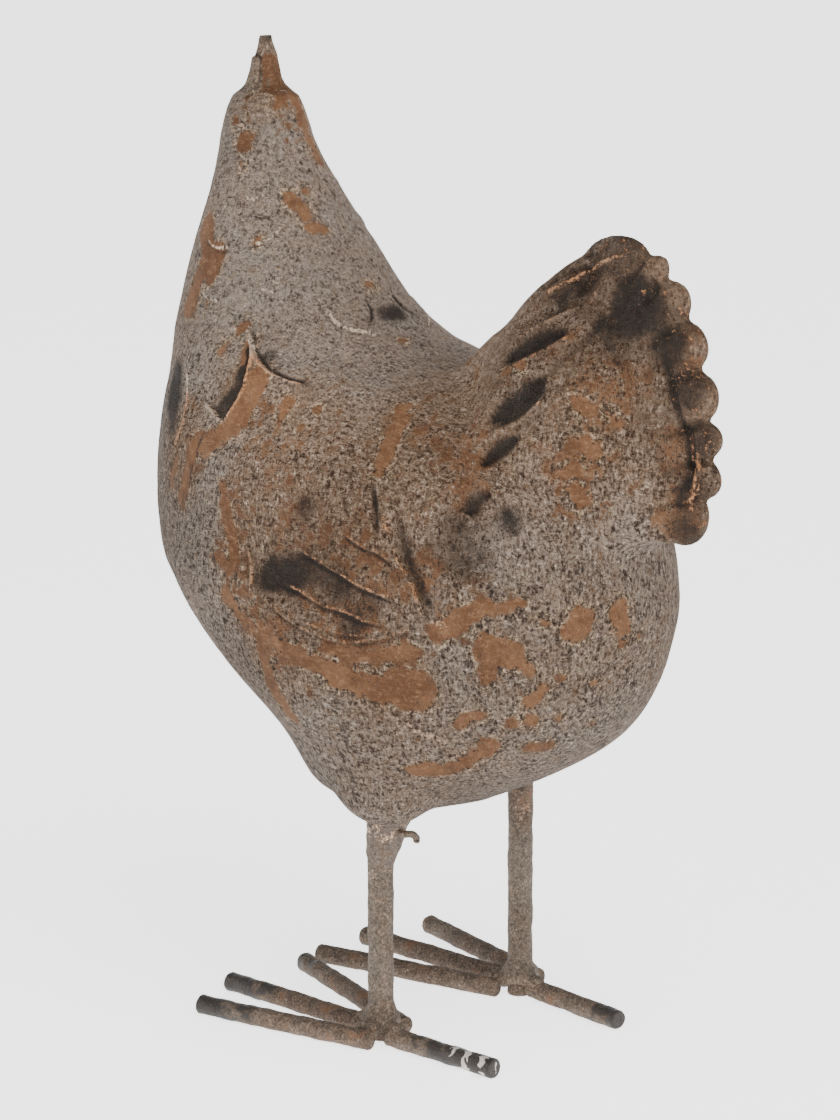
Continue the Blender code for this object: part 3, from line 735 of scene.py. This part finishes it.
def thin_the_rim(bm):
    """Squeezes the fan's plate near its rim and draws the rim in, so that the lobes stand clear of it."""
    for vert in bm.verts:
        along, height = vert.co.y, vert.co.z
        reach = float(fan_reach(along, height))
        if reach < RIM_REACH[0] or abs(vert.co.x) > 14.0 or height < 178.0:
            continue
        share = float(smoothstep(np.array(reach), *RIM_REACH))
        vert.co.x *= 1.0 - (1.0 - RIM_SQUEEZE) * share
        if abs(vert.co.x) < 4.0 and (along > 66.0 or height < 262.0):
            inwards = Vector((0.0, FAN_ROOT[0] - along, FAN_ROOT[1] - height)).normalized()
            vert.co += inwards * RIM_INSET


def add_lobe(bm, start, end, rise, depth, thickness):
    """A rounded feather whose outer edge arches over the line from start to end."""
    chord = end - start
    outward = Vector((-chord.y, chord.x)).normalized()
    middle = (start + end) / 2.0 + outward * (rise - depth)
    along_chord = Vector((0.0, *chord.normalized()))
    along_radius = Vector((0.0, *outward))
    turn = Matrix((along_chord, along_radius, Vector((1.0, 0.0, 0.0)))).transposed()
    size = Matrix.Diagonal((chord.length * 0.53, depth, thickness))
    place = Matrix.Translation((0.0, *middle)) @ (turn @ size).to_4x4()
    bmesh.ops.create_icosphere(bm, subdivisions=4, radius=1.0, matrix=place)


def refine_near_marks(mesh, tree_points):
    """Splits the faces near the carved marks, so that the marks come out crisp."""
    tree = KDTree(len(tree_points))
    for i, point in enumerate(tree_points):
        tree.insert(point, i)
    tree.balance()
    bm = bmesh.new()
    bm.from_mesh(mesh)
    near = [face for face in bm.faces if tree.find(face.calc_center_median())[2] < REFINE_REACH]
    edges = list({edge for face in near for edge in face.edges})
    bmesh.ops.subdivide_edges(bm, edges=edges, cuts=1, use_grid_fill=True)
    bmesh.ops.triangulate(bm, faces=[face for face in bm.faces if len(face.verts) > 4])
    bm.to_mesh(mesh)
    bm.free()


def outer_skin(node):
    """The outer surface of a hollow node, in millimetres, with its openings closed."""
    bm = bmesh.new()
    bm.from_mesh(node.data)
    bmesh.ops.scale(bm, vec=(1.0 / MM,) * 3, verts=bm.verts)
    bmesh.ops.remove_doubles(bm, verts=bm.verts, dist=1e-3)
    rim_angle = math.radians(60.0)  # the openings' rims are sharper than this
    waiting = [max(bm.faces, key=lambda face: face.calc_center_median().z)]
    waiting.append(max(bm.faces, key=lambda face: face.calc_center_median().x))
    outer = set(waiting)
    while waiting:
        for edge in waiting.pop().edges:
            if edge.calc_face_angle_signed(0.0) > rim_angle:
                continue
            for face in edge.link_faces:
                if face not in outer:
                    outer.add(face)
                    waiting.append(face)
    bmesh.ops.delete(bm, geom=[face for face in bm.faces if face not in outer], context="FACES")
    everything = list(bm.verts) + list(bm.edges) + list(bm.faces)
    above_head = Vector((0.0, 0.0, BEAK_BASE))
    bmesh.ops.bisect_plane(bm, geom=everything, plane_co=above_head, plane_no=(0, 0, 1), clear_outer=True)
    bmesh.ops.holes_fill(bm, edges=[edge for edge in bm.edges if edge.is_boundary], sides=0)
    bmesh.ops.triangulate(bm, faces=bm.faces)
    thin_the_rim(bm)
    for start, end in zip(FAN_NOTCHES, FAN_NOTCHES[1:]):
        start, end = Vector(start), Vector(end)
        rise = min(LOBE_RISE * (end - start).length + LOBE_REACH, TALLEST_RISE)
        add_lobe(bm, start, end, rise, LOBE_DEPTH, LOBE_THICKNESS)
    add_lobe(bm, Vector(CREST[0]), Vector(CREST[1]), CREST_RISE, CREST_DEPTH, CREST_THICKNESS)
    mesh = bpy.data.meshes.new("outer_skin")
    bm.to_mesh(mesh)
    bm.free()
    return mesh


def soften_inner_corners(mesh):
    """Rounds the creases where tail and thighs leave the body; the fan's notches stay crisp."""
    points = read_points(mesh)
    links = neighbours(mesh)
    points = 0.5 * points + 0.5 * neighbour_mean(points, links)
    write_points(mesh, points)
    hollow = ((neighbour_mean(points, links) - points) * read_normals(mesh)).sum(axis=1)
    weight = smoothstep(hollow, 0.02, 0.07)
    for _ in range(14):
        weight = np.maximum(weight * 0.97, neighbour_mean(weight, links))
    fan_rim = smoothstep(fan_reach(points[:, 1], points[:, 2]), *CRISP_REACH)
    relax(points, links, np.clip(weight * 1.6, 0.0, 1.0) * (1.0 - fan_rim), CREASE_ROUNDS)
    relax(points, links, 1.0 - smoothstep(points[:, 2], *BELLY_HEIGHTS), BELLY_ROUNDS)
    from_thigh = np.linalg.norm(points - np.array(HIDDEN_THIGH), axis=1)
    relax(points, links, 1.0 - smoothstep(from_thigh, *HIDDEN_THIGH_REACH), HIDDEN_THIGH_ROUNDS)
    write_points(mesh, points)


class Surface:
    """The casting's vertices with the height and the paint that the marks add to them."""

    def __init__(self, mesh):
        self.mesh = mesh
        self.points = read_points(mesh)
        self.normals = read_normals(mesh)
        self.tree = BVHTree.FromPolygons(
            [tuple(point) for point in self.points], [tuple(face.vertices) for face in mesh.polygons]
        )
        self.rise = np.zeros(len(self.points))
        self.dark = np.zeros(len(self.points))
        self.worn = np.zeros(len(self.points))

    def snapped(self, points, step):
        return np.array([self.tree.find_nearest(point)[0] for point in smooth_curve(points, step)])

    def mark(self, kind, width, height, dark, worn, points, flip=False):
        """Cuts or raises one mark along a line of points, fading towards both ends."""
        path = self.snapped(points, MARK_STEP)
        reach = STEP_REACH * 2.0 if kind == "step" else width * 3.2
        low = path.min(axis=0) - reach
        high = path.max(axis=0) + reach
        near = np.flatnonzero(((self.points > low) & (self.points < high)).all(axis=1))
        if not len(near):
            return
        spots = self.points[near]
        gaps = np.linalg.norm(spots[:, None, :] - path[None, :, :], axis=2)
        nearest = gaps.argmin(axis=1)
        headings = np.gradient(path, axis=0)
        headings /= np.linalg.norm(headings, axis=1)[:, None]
        offset = spots - path[nearest]
        heading = headings[nearest]
        sideways = np.cross(self.normals[near], heading)
        across = (offset * sideways).sum(axis=1)
        if flip:
            across = -across
        past = (offset * heading).sum(axis=1)
        inside = (nearest > 0) & (nearest < len(path) - 1)
        past = np.where(inside, 0.0, past)
        share = nearest / (len(path) - 1)
        fade = smoothstep(share, -0.02, 0.16) * smoothstep(1.0 - share, -0.02, 0.16)
        fade = fade * np.exp(-((past / (1.2 * width)) ** 2))
        if kind == "leaf":
            width = width * (0.2 + 0.8 * np.sin(math.pi * np.clip(share, 0.0, 1.0)))
        line = np.exp(-((across / width) ** 2))
        if kind in ("groove", "leaf"):
            self.rise[near] -= height * line * fade
            # painted shade along the groove
            self.dark[near] += dark * line * fade
            return
        if kind == "ridge":
            self.rise[near] += height * line * fade
            beside = np.exp(-(((np.abs(across) - 1.9 * width) / width) ** 2))
            self.rise[near] -= 0.35 * height * beside * fade
        else:
            lip = smoothstep(across, -0.5 * width, 0.5 * width)
            lip = lip * np.exp(-np.clip(across, 0.0, None) / STEP_REACH)
            foot = 0.25 * (1.0 - smoothstep(-across, 0.0, 3.0 * width)) * (across < 0)
            self.rise[near] += height * (lip - foot) * fade
            beside = np.exp(-(((across + 1.1 * width) / width) ** 2))
        # painted shade in the hollow beside the ridge or the lip
        self.dark[near] += dark * beside * fade
        crest = across if kind == "ridge" else across - 0.5 * width
        self.worn[near] += worn * np.exp(-((crest / (0.85 * width)) ** 2)) * fade

    def both_sides(self, kind, width, height, dark, worn, points):
        self.mark(kind, width, height, dark, worn, points)
        self.mark(kind, width, height, dark, worn, mirrored(points), flip=True)


def distance_to_line(spots, points):
    """Distance from each spot to a run of straight segments, or to a single point."""
    path = np.array(points, float)
    if len(path) == 1:
        return np.linalg.norm(spots - path[0], axis=1)
    best = np.full(len(spots), np.inf)
    for start, end in zip(path, path[1:]):
        run = end - start
        share = np.clip((spots - start) @ run / (run @ run), 0.0, 1.0)
        best = np.minimum(best, np.linalg.norm(spots - start - share[:, None] * run, axis=1))
    return best


def patch_field(spots):
    """1 well inside a rust patch, 0 on its edge, -1 well outside."""
    field = np.full(len(spots), -1.0)
    for radius, points in PATCHES:
        low = np.min(points, axis=0) - radius - PATCH_SOFTNESS
        high = np.max(points, axis=0) + radius + PATCH_SOFTNESS
        near = np.flatnonzero(((spots > low) & (spots < high)).all(axis=1))
        depth = (radius - distance_to_line(spots[near], points)) / PATCH_SOFTNESS
        field[near] = np.maximum(field[near], np.clip(depth, -1.0, 1.0))
    return field


def zone_field(spots, zones):
    """Soft round zones, joined so that an overlap isn't counted twice."""
    clear = np.ones(len(spots))
    for *centre, radius, amount in zones:
        share = np.linalg.norm(spots - np.array(centre, float), axis=1) / radius
        clear *= 1.0 - amount * (1.0 - smoothstep(share, 0.35, 1.15))
    return 1.0 - clear


def notch_cuts():
    """Short grooves on the fan's face, from its notches towards its root."""
    root = np.array(FAN_ROOT, float)
    cuts = []
    for notch in FAN_NOTCHES[1:-1]:
        rim = np.array(notch, float)
        inwards = (root - rim) / np.linalg.norm(root - rim)
        cut = []
        for share in (-0.1, 0.35, 0.7, 1.0):
            along, height = rim + inwards * (share * CUT_LENGTH)
            cut.append((5.0 + 4.0 * share, along, height))
        cuts.append(("groove", 1.1, 1.0, 0.32, 0.0, cut))
    return cuts


def wander(points, period, seeds, amount):
    """A smooth random shift of each point, from one noise for each axis."""
    return np.stack([noise_at(points, period, seed) for seed in seeds], axis=1) * amount


def make_casting(material):
    skin = outer_skin(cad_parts["body_casting"])
    mesh = voxel_remeshed(skin, VOXEL)
    soften_inner_corners(mesh)
    marks = MARKS + notch_cuts()
    lines = [smooth_curve(mark[-1], MARK_STEP) for mark in marks]
    refine_near_marks(mesh, [(side * x, y, z) for line in lines for x, y, z in line for side in (1, -1)])
    surface = Surface(mesh)
    for mark in marks:
        surface.both_sides(*mark)
    lumps = noise_at(surface.points, 14.0) * LUMP_HEIGHT + noise_at(surface.points, 5.0, 3) * 0.10
    points = surface.points + surface.normals * (surface.rise + lumps)[:, None]
    write_points(mesh, points)

    # The far side shows its own patches: the near side's, mirrored and pushed about.
    pushed = surface.points + wander(surface.points, 30.0, (5, 6, 7), 9.0)
    pushed[:, 0] *= -1.0
    hidden = surface.normals @ np.array(VIEWED_SIDE) < TURNED_AWAY
    ragged = wander(surface.points, 7.0, (8, 9, 10), 1.5) + wander(surface.points, 3.2, (11, 12, 13), 0.7)
    rust = patch_field(surface.points + ragged)
    rust[hidden] = patch_field((pushed + ragged)[hidden])

    folded = surface.points.copy()
    folded[:, 0] = np.abs(folded[:, 0])
    warm = zone_field(folded, WARM_ZONES)
    # painted shade on the front, and darker over the tail and wing
    darkened = zone_field(folded, DARKENED_ZONES)
    reach = fan_reach(points[:, 1], points[:, 2])
    across, along, height = np.abs(points[:, 0]), points[:, 1], points[:, 2]
    rim = smoothstep(reach, *EDGE_REACH) * (across < 4.0)
    lobes = smoothstep(reach, *LOBE_SHADE_REACH) * (across < 10.0)
    # Patina, with painted shade from the marks and from some of the dark zones
    dark = surface.dark + zone_field(folded, DARK_ZONES) + 0.22 * lobes
    # Painted shade: the coat is scaled darker towards the bottom
    low = 1.0 - smoothstep(height, *SHADE_HEIGHTS) + 0.5 * (1.0 - smoothstep(height, *BASE_HEIGHTS))
    busy = 1.25 - 0.35 * smoothstep(height, *CALM_HEIGHTS) - 0.25 * warm
    paint(
        mesh,
        rust=rust,
        # painted shade low down and on the front, darker tail and wing, painted light over the saddle and
        # back
        grime=low + 1.15 * darkened - 0.95 * zone_field(folded, PAINTED_LIGHT_ZONES),
        mottled=zone_field(folded, MOTTLED_ZONES),
        busy=busy + 0.55 * darkened * (along > 40.0),
        dark=np.clip(dark, 0.0, 1.3),
        worn=np.clip(0.66 * surface.worn + 0.22 * rim, 0.0, 1.0),
        warm=warm,
    )
    mesh.transform(Matrix.Scale(MM, 4))
    return mesh_object("hen_casting", mesh, material)


def make_beak(material):
    """The beak points straight up; its lower half, at the front, ends short of the tip."""
    heights, radii = np.array(BEAK_PROFILE).T
    bm = bmesh.new()
    rings = []
    for height in np.arange(heights[0], heights[-1], BEAK_PITCH):
        radius = float(np.interp(height, heights, radii))
        ring = []
        for angle in around(BEAK_SIDES):  # 0 at the front
            front = max(0.0, math.cos(angle))
            short = 1.5 * front * float(smoothstep(np.array(height), LIP_HEIGHT - 0.8, LIP_HEIGHT))
            split = math.exp(-(((abs(math.pi - abs(angle - math.pi)) - SPLIT_BEARING) / 0.12) ** 2))
            split *= 0.55 * float(1.0 - smoothstep(np.array(height), 320.0, 322.0))
            ragged = noise.noise(Vector((math.sin(angle), math.cos(angle), height / 6.0)) * 1.5) * 0.35
            size = radius - short - split + ragged
            ring.append(bm.verts.new((size * math.sin(angle), BEAK_CENTRE - size * math.cos(angle), height)))
        rings.append(ring)
    skin_rings(bm, rings)
    beak = from_bmesh("hen_beak", bm, material)
    points = read_points(beak.data)
    bearing = np.arctan2(np.abs(points[:, 0]), BEAK_CENTRE - points[:, 1])  # 0 at the front
    rust = np.clip((bearing - 2.15) * 2.0, -1.0, 0.45) - smoothstep(points[:, 2], 320.0, 325.0)
    top = smoothstep(points[:, 2], 325.0, 327.0)
    split = np.exp(-(((bearing - SPLIT_BEARING) / 0.10) ** 2)) * (points[:, 2] < LIP_HEIGHT)
    notch = np.exp(-(((points[:, 2] - LIP_HEIGHT - 0.1) / 0.7) ** 2)) * (bearing < 2.0)
    dark = np.clip(0.4 * top + 0.6 * split + 0.6 * notch, 0.0, 1.0)
    paint(beak.data, rust=rust, dark=dark, grime=0.9, mottled=0.0, busy=0.7, worn=0.05, warm=0.4)
    beak.data.transform(Matrix.Scale(MM, 4))
    return beak


# ================================================================ rods
def rod_mesh(start, end, radius, seed, flat_floor=False):
    """A lumpy coated rod with bevelled cut ends, in millimetres, and each vertex's distance from start."""
    start = Vector(start)
    axis = Vector(end) - start
    length = axis.length
    turn = axis.to_track_quat("Z", "Y")
    stations = [(share * ROD_BEVEL, radius - cut * ROD_BEVEL) for share, cut in ROD_END]
    straight = length - 2.0 * ROD_BEVEL
    count = max(2, round(straight / ROD_PITCH))
    for i in range(1, count):
        stations.append((ROD_BEVEL + straight * i / count, radius))
    stations += [(length - place, size) for place, size in reversed(stations[:3])]
    bm = bmesh.new()
    rings = []
    distances = []
    for place, size in stations:
        ring = []
        for angle in around(ROD_SIDES):
            local = Vector((size * math.cos(angle), size * math.sin(angle), place))
            spot = start + turn @ local
            swell = noise.noise(spot / 5.5 + Vector((seed, 0.0, 0.0))) * 0.34
            swell += noise.noise(spot / 2.2 + Vector((0.0, seed, 0.0))) * 0.16
            spot = start + turn @ (local + Vector((local.x, local.y, 0.0)).normalized() * (swell - 0.08))
            if flat_floor:
                spot.z = max(spot.z, 0.05)
            ring.append(bm.verts.new(spot))
            distances.append(place)
        rings.append(ring)
    skin_rings(bm, rings, capped=False)
    for ring, inwards in ((rings[0], 0.15), (rings[-1], -0.15)):
        middle = sum((vert.co for vert in ring), Vector()) / ROD_SIDES
        centre = bm.verts.new(middle + axis.normalized() * inwards)
        distances.append(distances[0] if inwards > 0 else length)
        for k in range(ROD_SIDES):
            bm.faces.new((ring[k], ring[(k + 1) % ROD_SIDES], centre))
    return bm, np.array(distances)


def finish_rod(name, bm, material, **layers):
    to_metres(bm)
    obj = from_bmesh(name, bm, material)
    paint(obj.data, **{"black": 0.0, "chips": 0.0, "worn": 0.0, "warm": 0.0, "pale": 0.0, **layers})
    return obj


def make_leg(side, material):
    x, y = LEGS[side]
    bm, distance = rod_mesh((x, y, 0.05), (x, y, LEG_TOP), LEG_RADIUS, seed=3.0 if side == "left" else 9.0)
    warm = 0.50 + 0.25 * smoothstep(12.0 - distance, 0.0, 8.0)
    if side == "right":
        warm = warm + 0.70 * smoothstep(distance, 56.0, 76.0)
    worn = 0.45 * np.exp(-(((distance - LEG_FLECKS[side]) / 7.0) ** 2))
    return finish_rod(side + "_leg", bm, material, warm=warm, worn=worn)


def make_toe(name, seed, material):
    tip, butt = TOES[name]
    bm, distance = rod_mesh((*tip, TOE_RADIUS), (*butt, TOE_RADIUS), TOE_RADIUS, seed, flat_floor=True)
    black_length = BLACK_TIPS.get(name, 0.0)
    black = smoothstep(black_length - distance, -14.0, 8.0) if black_length else 0.0
    chips = 0.0
    if name == CHIPPED_TOE:
        chips = smoothstep(distance, -4.0, 3.0) * smoothstep(22.0 - distance, 0.0, 6.0)
    warm = 0.58 + 0.22 * smoothstep(distance, 0.0, 40.0)
    return finish_rod(name + "_rod", bm, material, black=black, chips=chips, warm=warm, pale=1.0)


def lumps_mesh(balls, voxel):
    """One closed skin round a heap of overlapping balls: centre, radius."""
    bm = bmesh.new()
    for centre, radius in balls:
        place = Matrix.Translation(centre) @ Matrix.Scale(radius, 4)
        bmesh.ops.create_icosphere(bm, subdivisions=3, radius=1.0, matrix=place)
    heap = bpy.data.meshes.new("heap")
    bm.to_mesh(heap)
    bm.free()
    mesh = voxel_remeshed(heap, voxel)
    links = neighbours(mesh)
    points = read_points(mesh)
    for _ in range(9):
        points = 0.4 * points + 0.6 * neighbour_mean(points, links)
    write_points(mesh, points)
    return mesh


def make_weld(side, material):
    """Weld metal heaped in the corners between the leg and the butts of its toes."""
    x, y = LEGS[side]
    dice = random.Random(7 if side == "left" else 12)
    balls = []
    for angle in around(12):
        for height, out, size in WELD_ROWS:
            change = dice.uniform(-0.35, 0.35)
            centre = Vector((x + out * math.cos(angle), y + out * math.sin(angle), height + change))
            balls.append((centre, size + change * 0.6))
    for name, (tip, butt) in TOES.items():
        if not name.startswith(side):
            continue
        heading = (Vector((*butt, 0.0)) - Vector((*tip, 0.0))).normalized()
        for back in (1.5, 4.5, 7.5):
            spot = Vector((*butt, 5.6)) - heading * back
            towards = Vector((x, y, 5.6)) - spot
            if towards.length > 1.0:
                spot += towards.normalized() * min(towards.length * 0.45, 4.0)
            balls.append((spot, dice.uniform(2.4, 3.1)))
    mesh = lumps_mesh(balls, WELD_VOXEL)
    points = read_points(mesh)
    points += read_normals(mesh) * (noise_at(points, 2.6, 4) * 0.22)[:, None]
    points[:, 2] = np.maximum(points[:, 2], 0.4)
    write_points(mesh, points)
    mesh.transform(Matrix.Scale(MM, 4))
    weld = mesh_object(side + "_weld", mesh, material)
    paint(mesh, black=0.0, chips=0.0, worn=0.0, warm=0.55, pale=0.5)
    return weld


def make_collar(side, material):
    """Filler smeared down the leg from the casting, thick on one side."""
    x, y = LEGS[side]
    foot, top, bulge, heading = COLLARS[side]
    bm = bmesh.new()
    rings = []
    count = round((top - foot) / COLLAR_PITCH)
    for i in range(count + 1):
        share = i / count
        ring = []
        for angle in around(COLLAR_SIDES):
            towards = max(0.0, 0.5 + 0.5 * math.cos(angle - heading)) ** 2
            grow = min(share / 0.75, 1.0)
            grow = grow * grow * (3.0 - 2.0 * grow)
            ragged = noise.noise(Vector((math.cos(angle), math.sin(angle), share * 4.0)) * 1.6)
            size = LEG_RADIUS - 0.25 + bulge * grow * towards + (0.55 + 0.5 * ragged) * min(share * 5.0, 1.0)
            size += 0.8 * ragged * towards * grow
            height = foot + share * (top - foot)
            ring.append(bm.verts.new((x + size * math.cos(angle), y + size * math.sin(angle), height)))
        rings.append(ring)
    skin_rings(bm, rings)
    to_metres(bm)
    collar = from_bmesh(side + "_collar_filler", bm, material)
    heights = read_points(collar.data)[:, 2] / MM
    worn = smoothstep(heights, foot + 4.0, foot + 14.0) * (0.55 if side == "left" else 0.25)
    paint(collar.data, worn=worn)
    return collar


def make_belly_mortar(material):
    """The mortar that closes the opening in the belly, a little proud of the casting."""
    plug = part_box("belly_plug")
    low = np.array(plug[0]) / MM
    high = np.array(plug[1]) / MM
    middle = (low + high) / 2.0
    half = (high - low) / 2.0
    bm = bmesh.new()
    rings = []
    for share, lift in PLUG_PROFILE:
        ring = []
        for angle in around(PLUG_SIDES):
            x = middle[0] + half[0] * share * math.cos(angle)
            y = middle[1] + half[1] * share * math.sin(angle)
            spot = Vector((x, y, low[2] + lift))
            spot.z += noise.noise(spot / 4.0) * 0.2
            ring.append(bm.verts.new(spot))
        rings.append(ring)
    skin_rings(bm, rings)
    to_metres(bm)
    plug_face = from_bmesh("belly_mortar", bm, material)
    paint(plug_face.data, worn=0.0)
    return plug_face


def make_stub(material):
    """The curled wire end beside the left collar."""
    path = smooth_curve(STUB_PATH, 0.4)
    bm = bmesh.new()
    rings = []
    for i, spot in enumerate(path):
        heading = path[min(i + 1, len(path) - 1)] - path[max(i - 1, 0)]
        turn = heading.to_track_quat("Z", "X")
        end = min(i, len(path) - 1 - i)
        size = STUB_RADIUS * (0.72 if end == 0 else 1.0) * (1.0 + 0.12 * noise.noise(spot * 1.3))
        ring = []
        for angle in around(STUB_SIDES):
            offset = Vector((size * math.cos(angle), size * math.sin(angle), 0.0))
            ring.append(bm.verts.new(spot + turn @ offset))
        rings.append(ring)
    skin_rings(bm, rings)
    return finish_rod("left_wire_end", bm, material, warm=0.5)


# ================================================================ studio
def aim(obj, azimuth, elevation, distance):
    """Places this object round the hen, at angles in degrees, and turns it to face the hen."""
    turn, lift = math.radians(azimuth), math.radians(elevation)
    flat = math.cos(lift)
    heading = Vector((math.sin(turn) * flat, -math.cos(turn) * flat, math.sin(lift)))
    obj.location = CAMERA_TARGET + heading * distance
    obj.rotation_euler = (CAMERA_TARGET - obj.location).to_track_quat("-Z", "Y").to_euler()


def make_studio():
    bpy.ops.mesh.primitive_plane_add(size=40.0, location=(0.0, 0.0, 0.0))
    floor = bpy.context.active_object
    floor.name = "studio_floor"
    floor.data.materials.append(studio_floor())
    bpy.ops.mesh.primitive_cylinder_add(
        vertices=96, radius=WALL_RADIUS, depth=WALL_HEIGHT, end_fill_type="NOTHING",
        location=(0.0, 0.0, WALL_HEIGHT / 2.0),
    )
    wall = bpy.context.active_object
    wall.name = "studio_wall"
    wall.data.materials.append(floor.data.materials[0])

    world = bpy.data.worlds.new("studio")
    world.use_nodes = True
    world.node_tree.nodes["Background"].inputs["Color"].default_value = (1.0, 1.0, 1.0, 1.0)
    world.node_tree.nodes["Background"].inputs["Strength"].default_value = SKY_STRENGTH
    bpy.context.scene.world = world

    for name, azimuth, elevation, distance, size, power in LIGHTS:
        light = bpy.data.lights.new(name, "AREA")
        light.size = size
        light.energy = power
        aim(new_object(name, light), azimuth, elevation, distance)


def make_camera():
    data = bpy.data.cameras.new("camera")
    data.sensor_fit = "VERTICAL"
    data.sensor_height = SENSOR_HEIGHT
    data.lens = FOCAL_LENGTH
    data.clip_end = 20.0
    camera = new_object("camera", data)
    aim(camera, CAMERA_AZIMUTH, CAMERA_ELEVATION, CAMERA_DISTANCE)
    bpy.context.scene.camera = camera


def place(piece, slot, *nodes):
    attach(piece, "root")
    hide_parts(*nodes)


def main():
    iron = coated_iron()
    filler = mortar()
    stone = cast_stone()
    place(make_casting(stone), "cast_stone", "body_casting")
    place(make_beak(stone), "cast_stone", "body_casting")
    place(make_belly_mortar(filler), "mortar", "belly_plug")
    for side in LEGS:
        place(make_leg(side, iron), "coated_iron", side + "_leg_rod")
        place(make_weld(side, iron), "weld_bead", side + "_ankle_weld")
        place(make_collar(side, filler), "mortar", side + "_leg_collar")
    for seed, name in enumerate(TOES):
        place(make_toe(name, 2.0 + 1.7 * seed, iron), "coated_iron", name)
    place(make_stub(iron), "tie_wire", "left_wire_stub")

    rusty_bar = bare_iron("bare_iron", *BAR_COLOURS)
    rusty_wire = bare_iron("tie_wire", *WIRE_COLOURS)
    for name, finish in (
        ("armature_crossbar", rusty_bar),
        ("left_armature_tie", rusty_wire),
        ("right_armature_tie", rusty_wire),
    ):
        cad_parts[name].data.materials.clear()
        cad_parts[name].data.materials.append(finish)

    make_studio()
    make_camera()
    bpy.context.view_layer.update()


main()
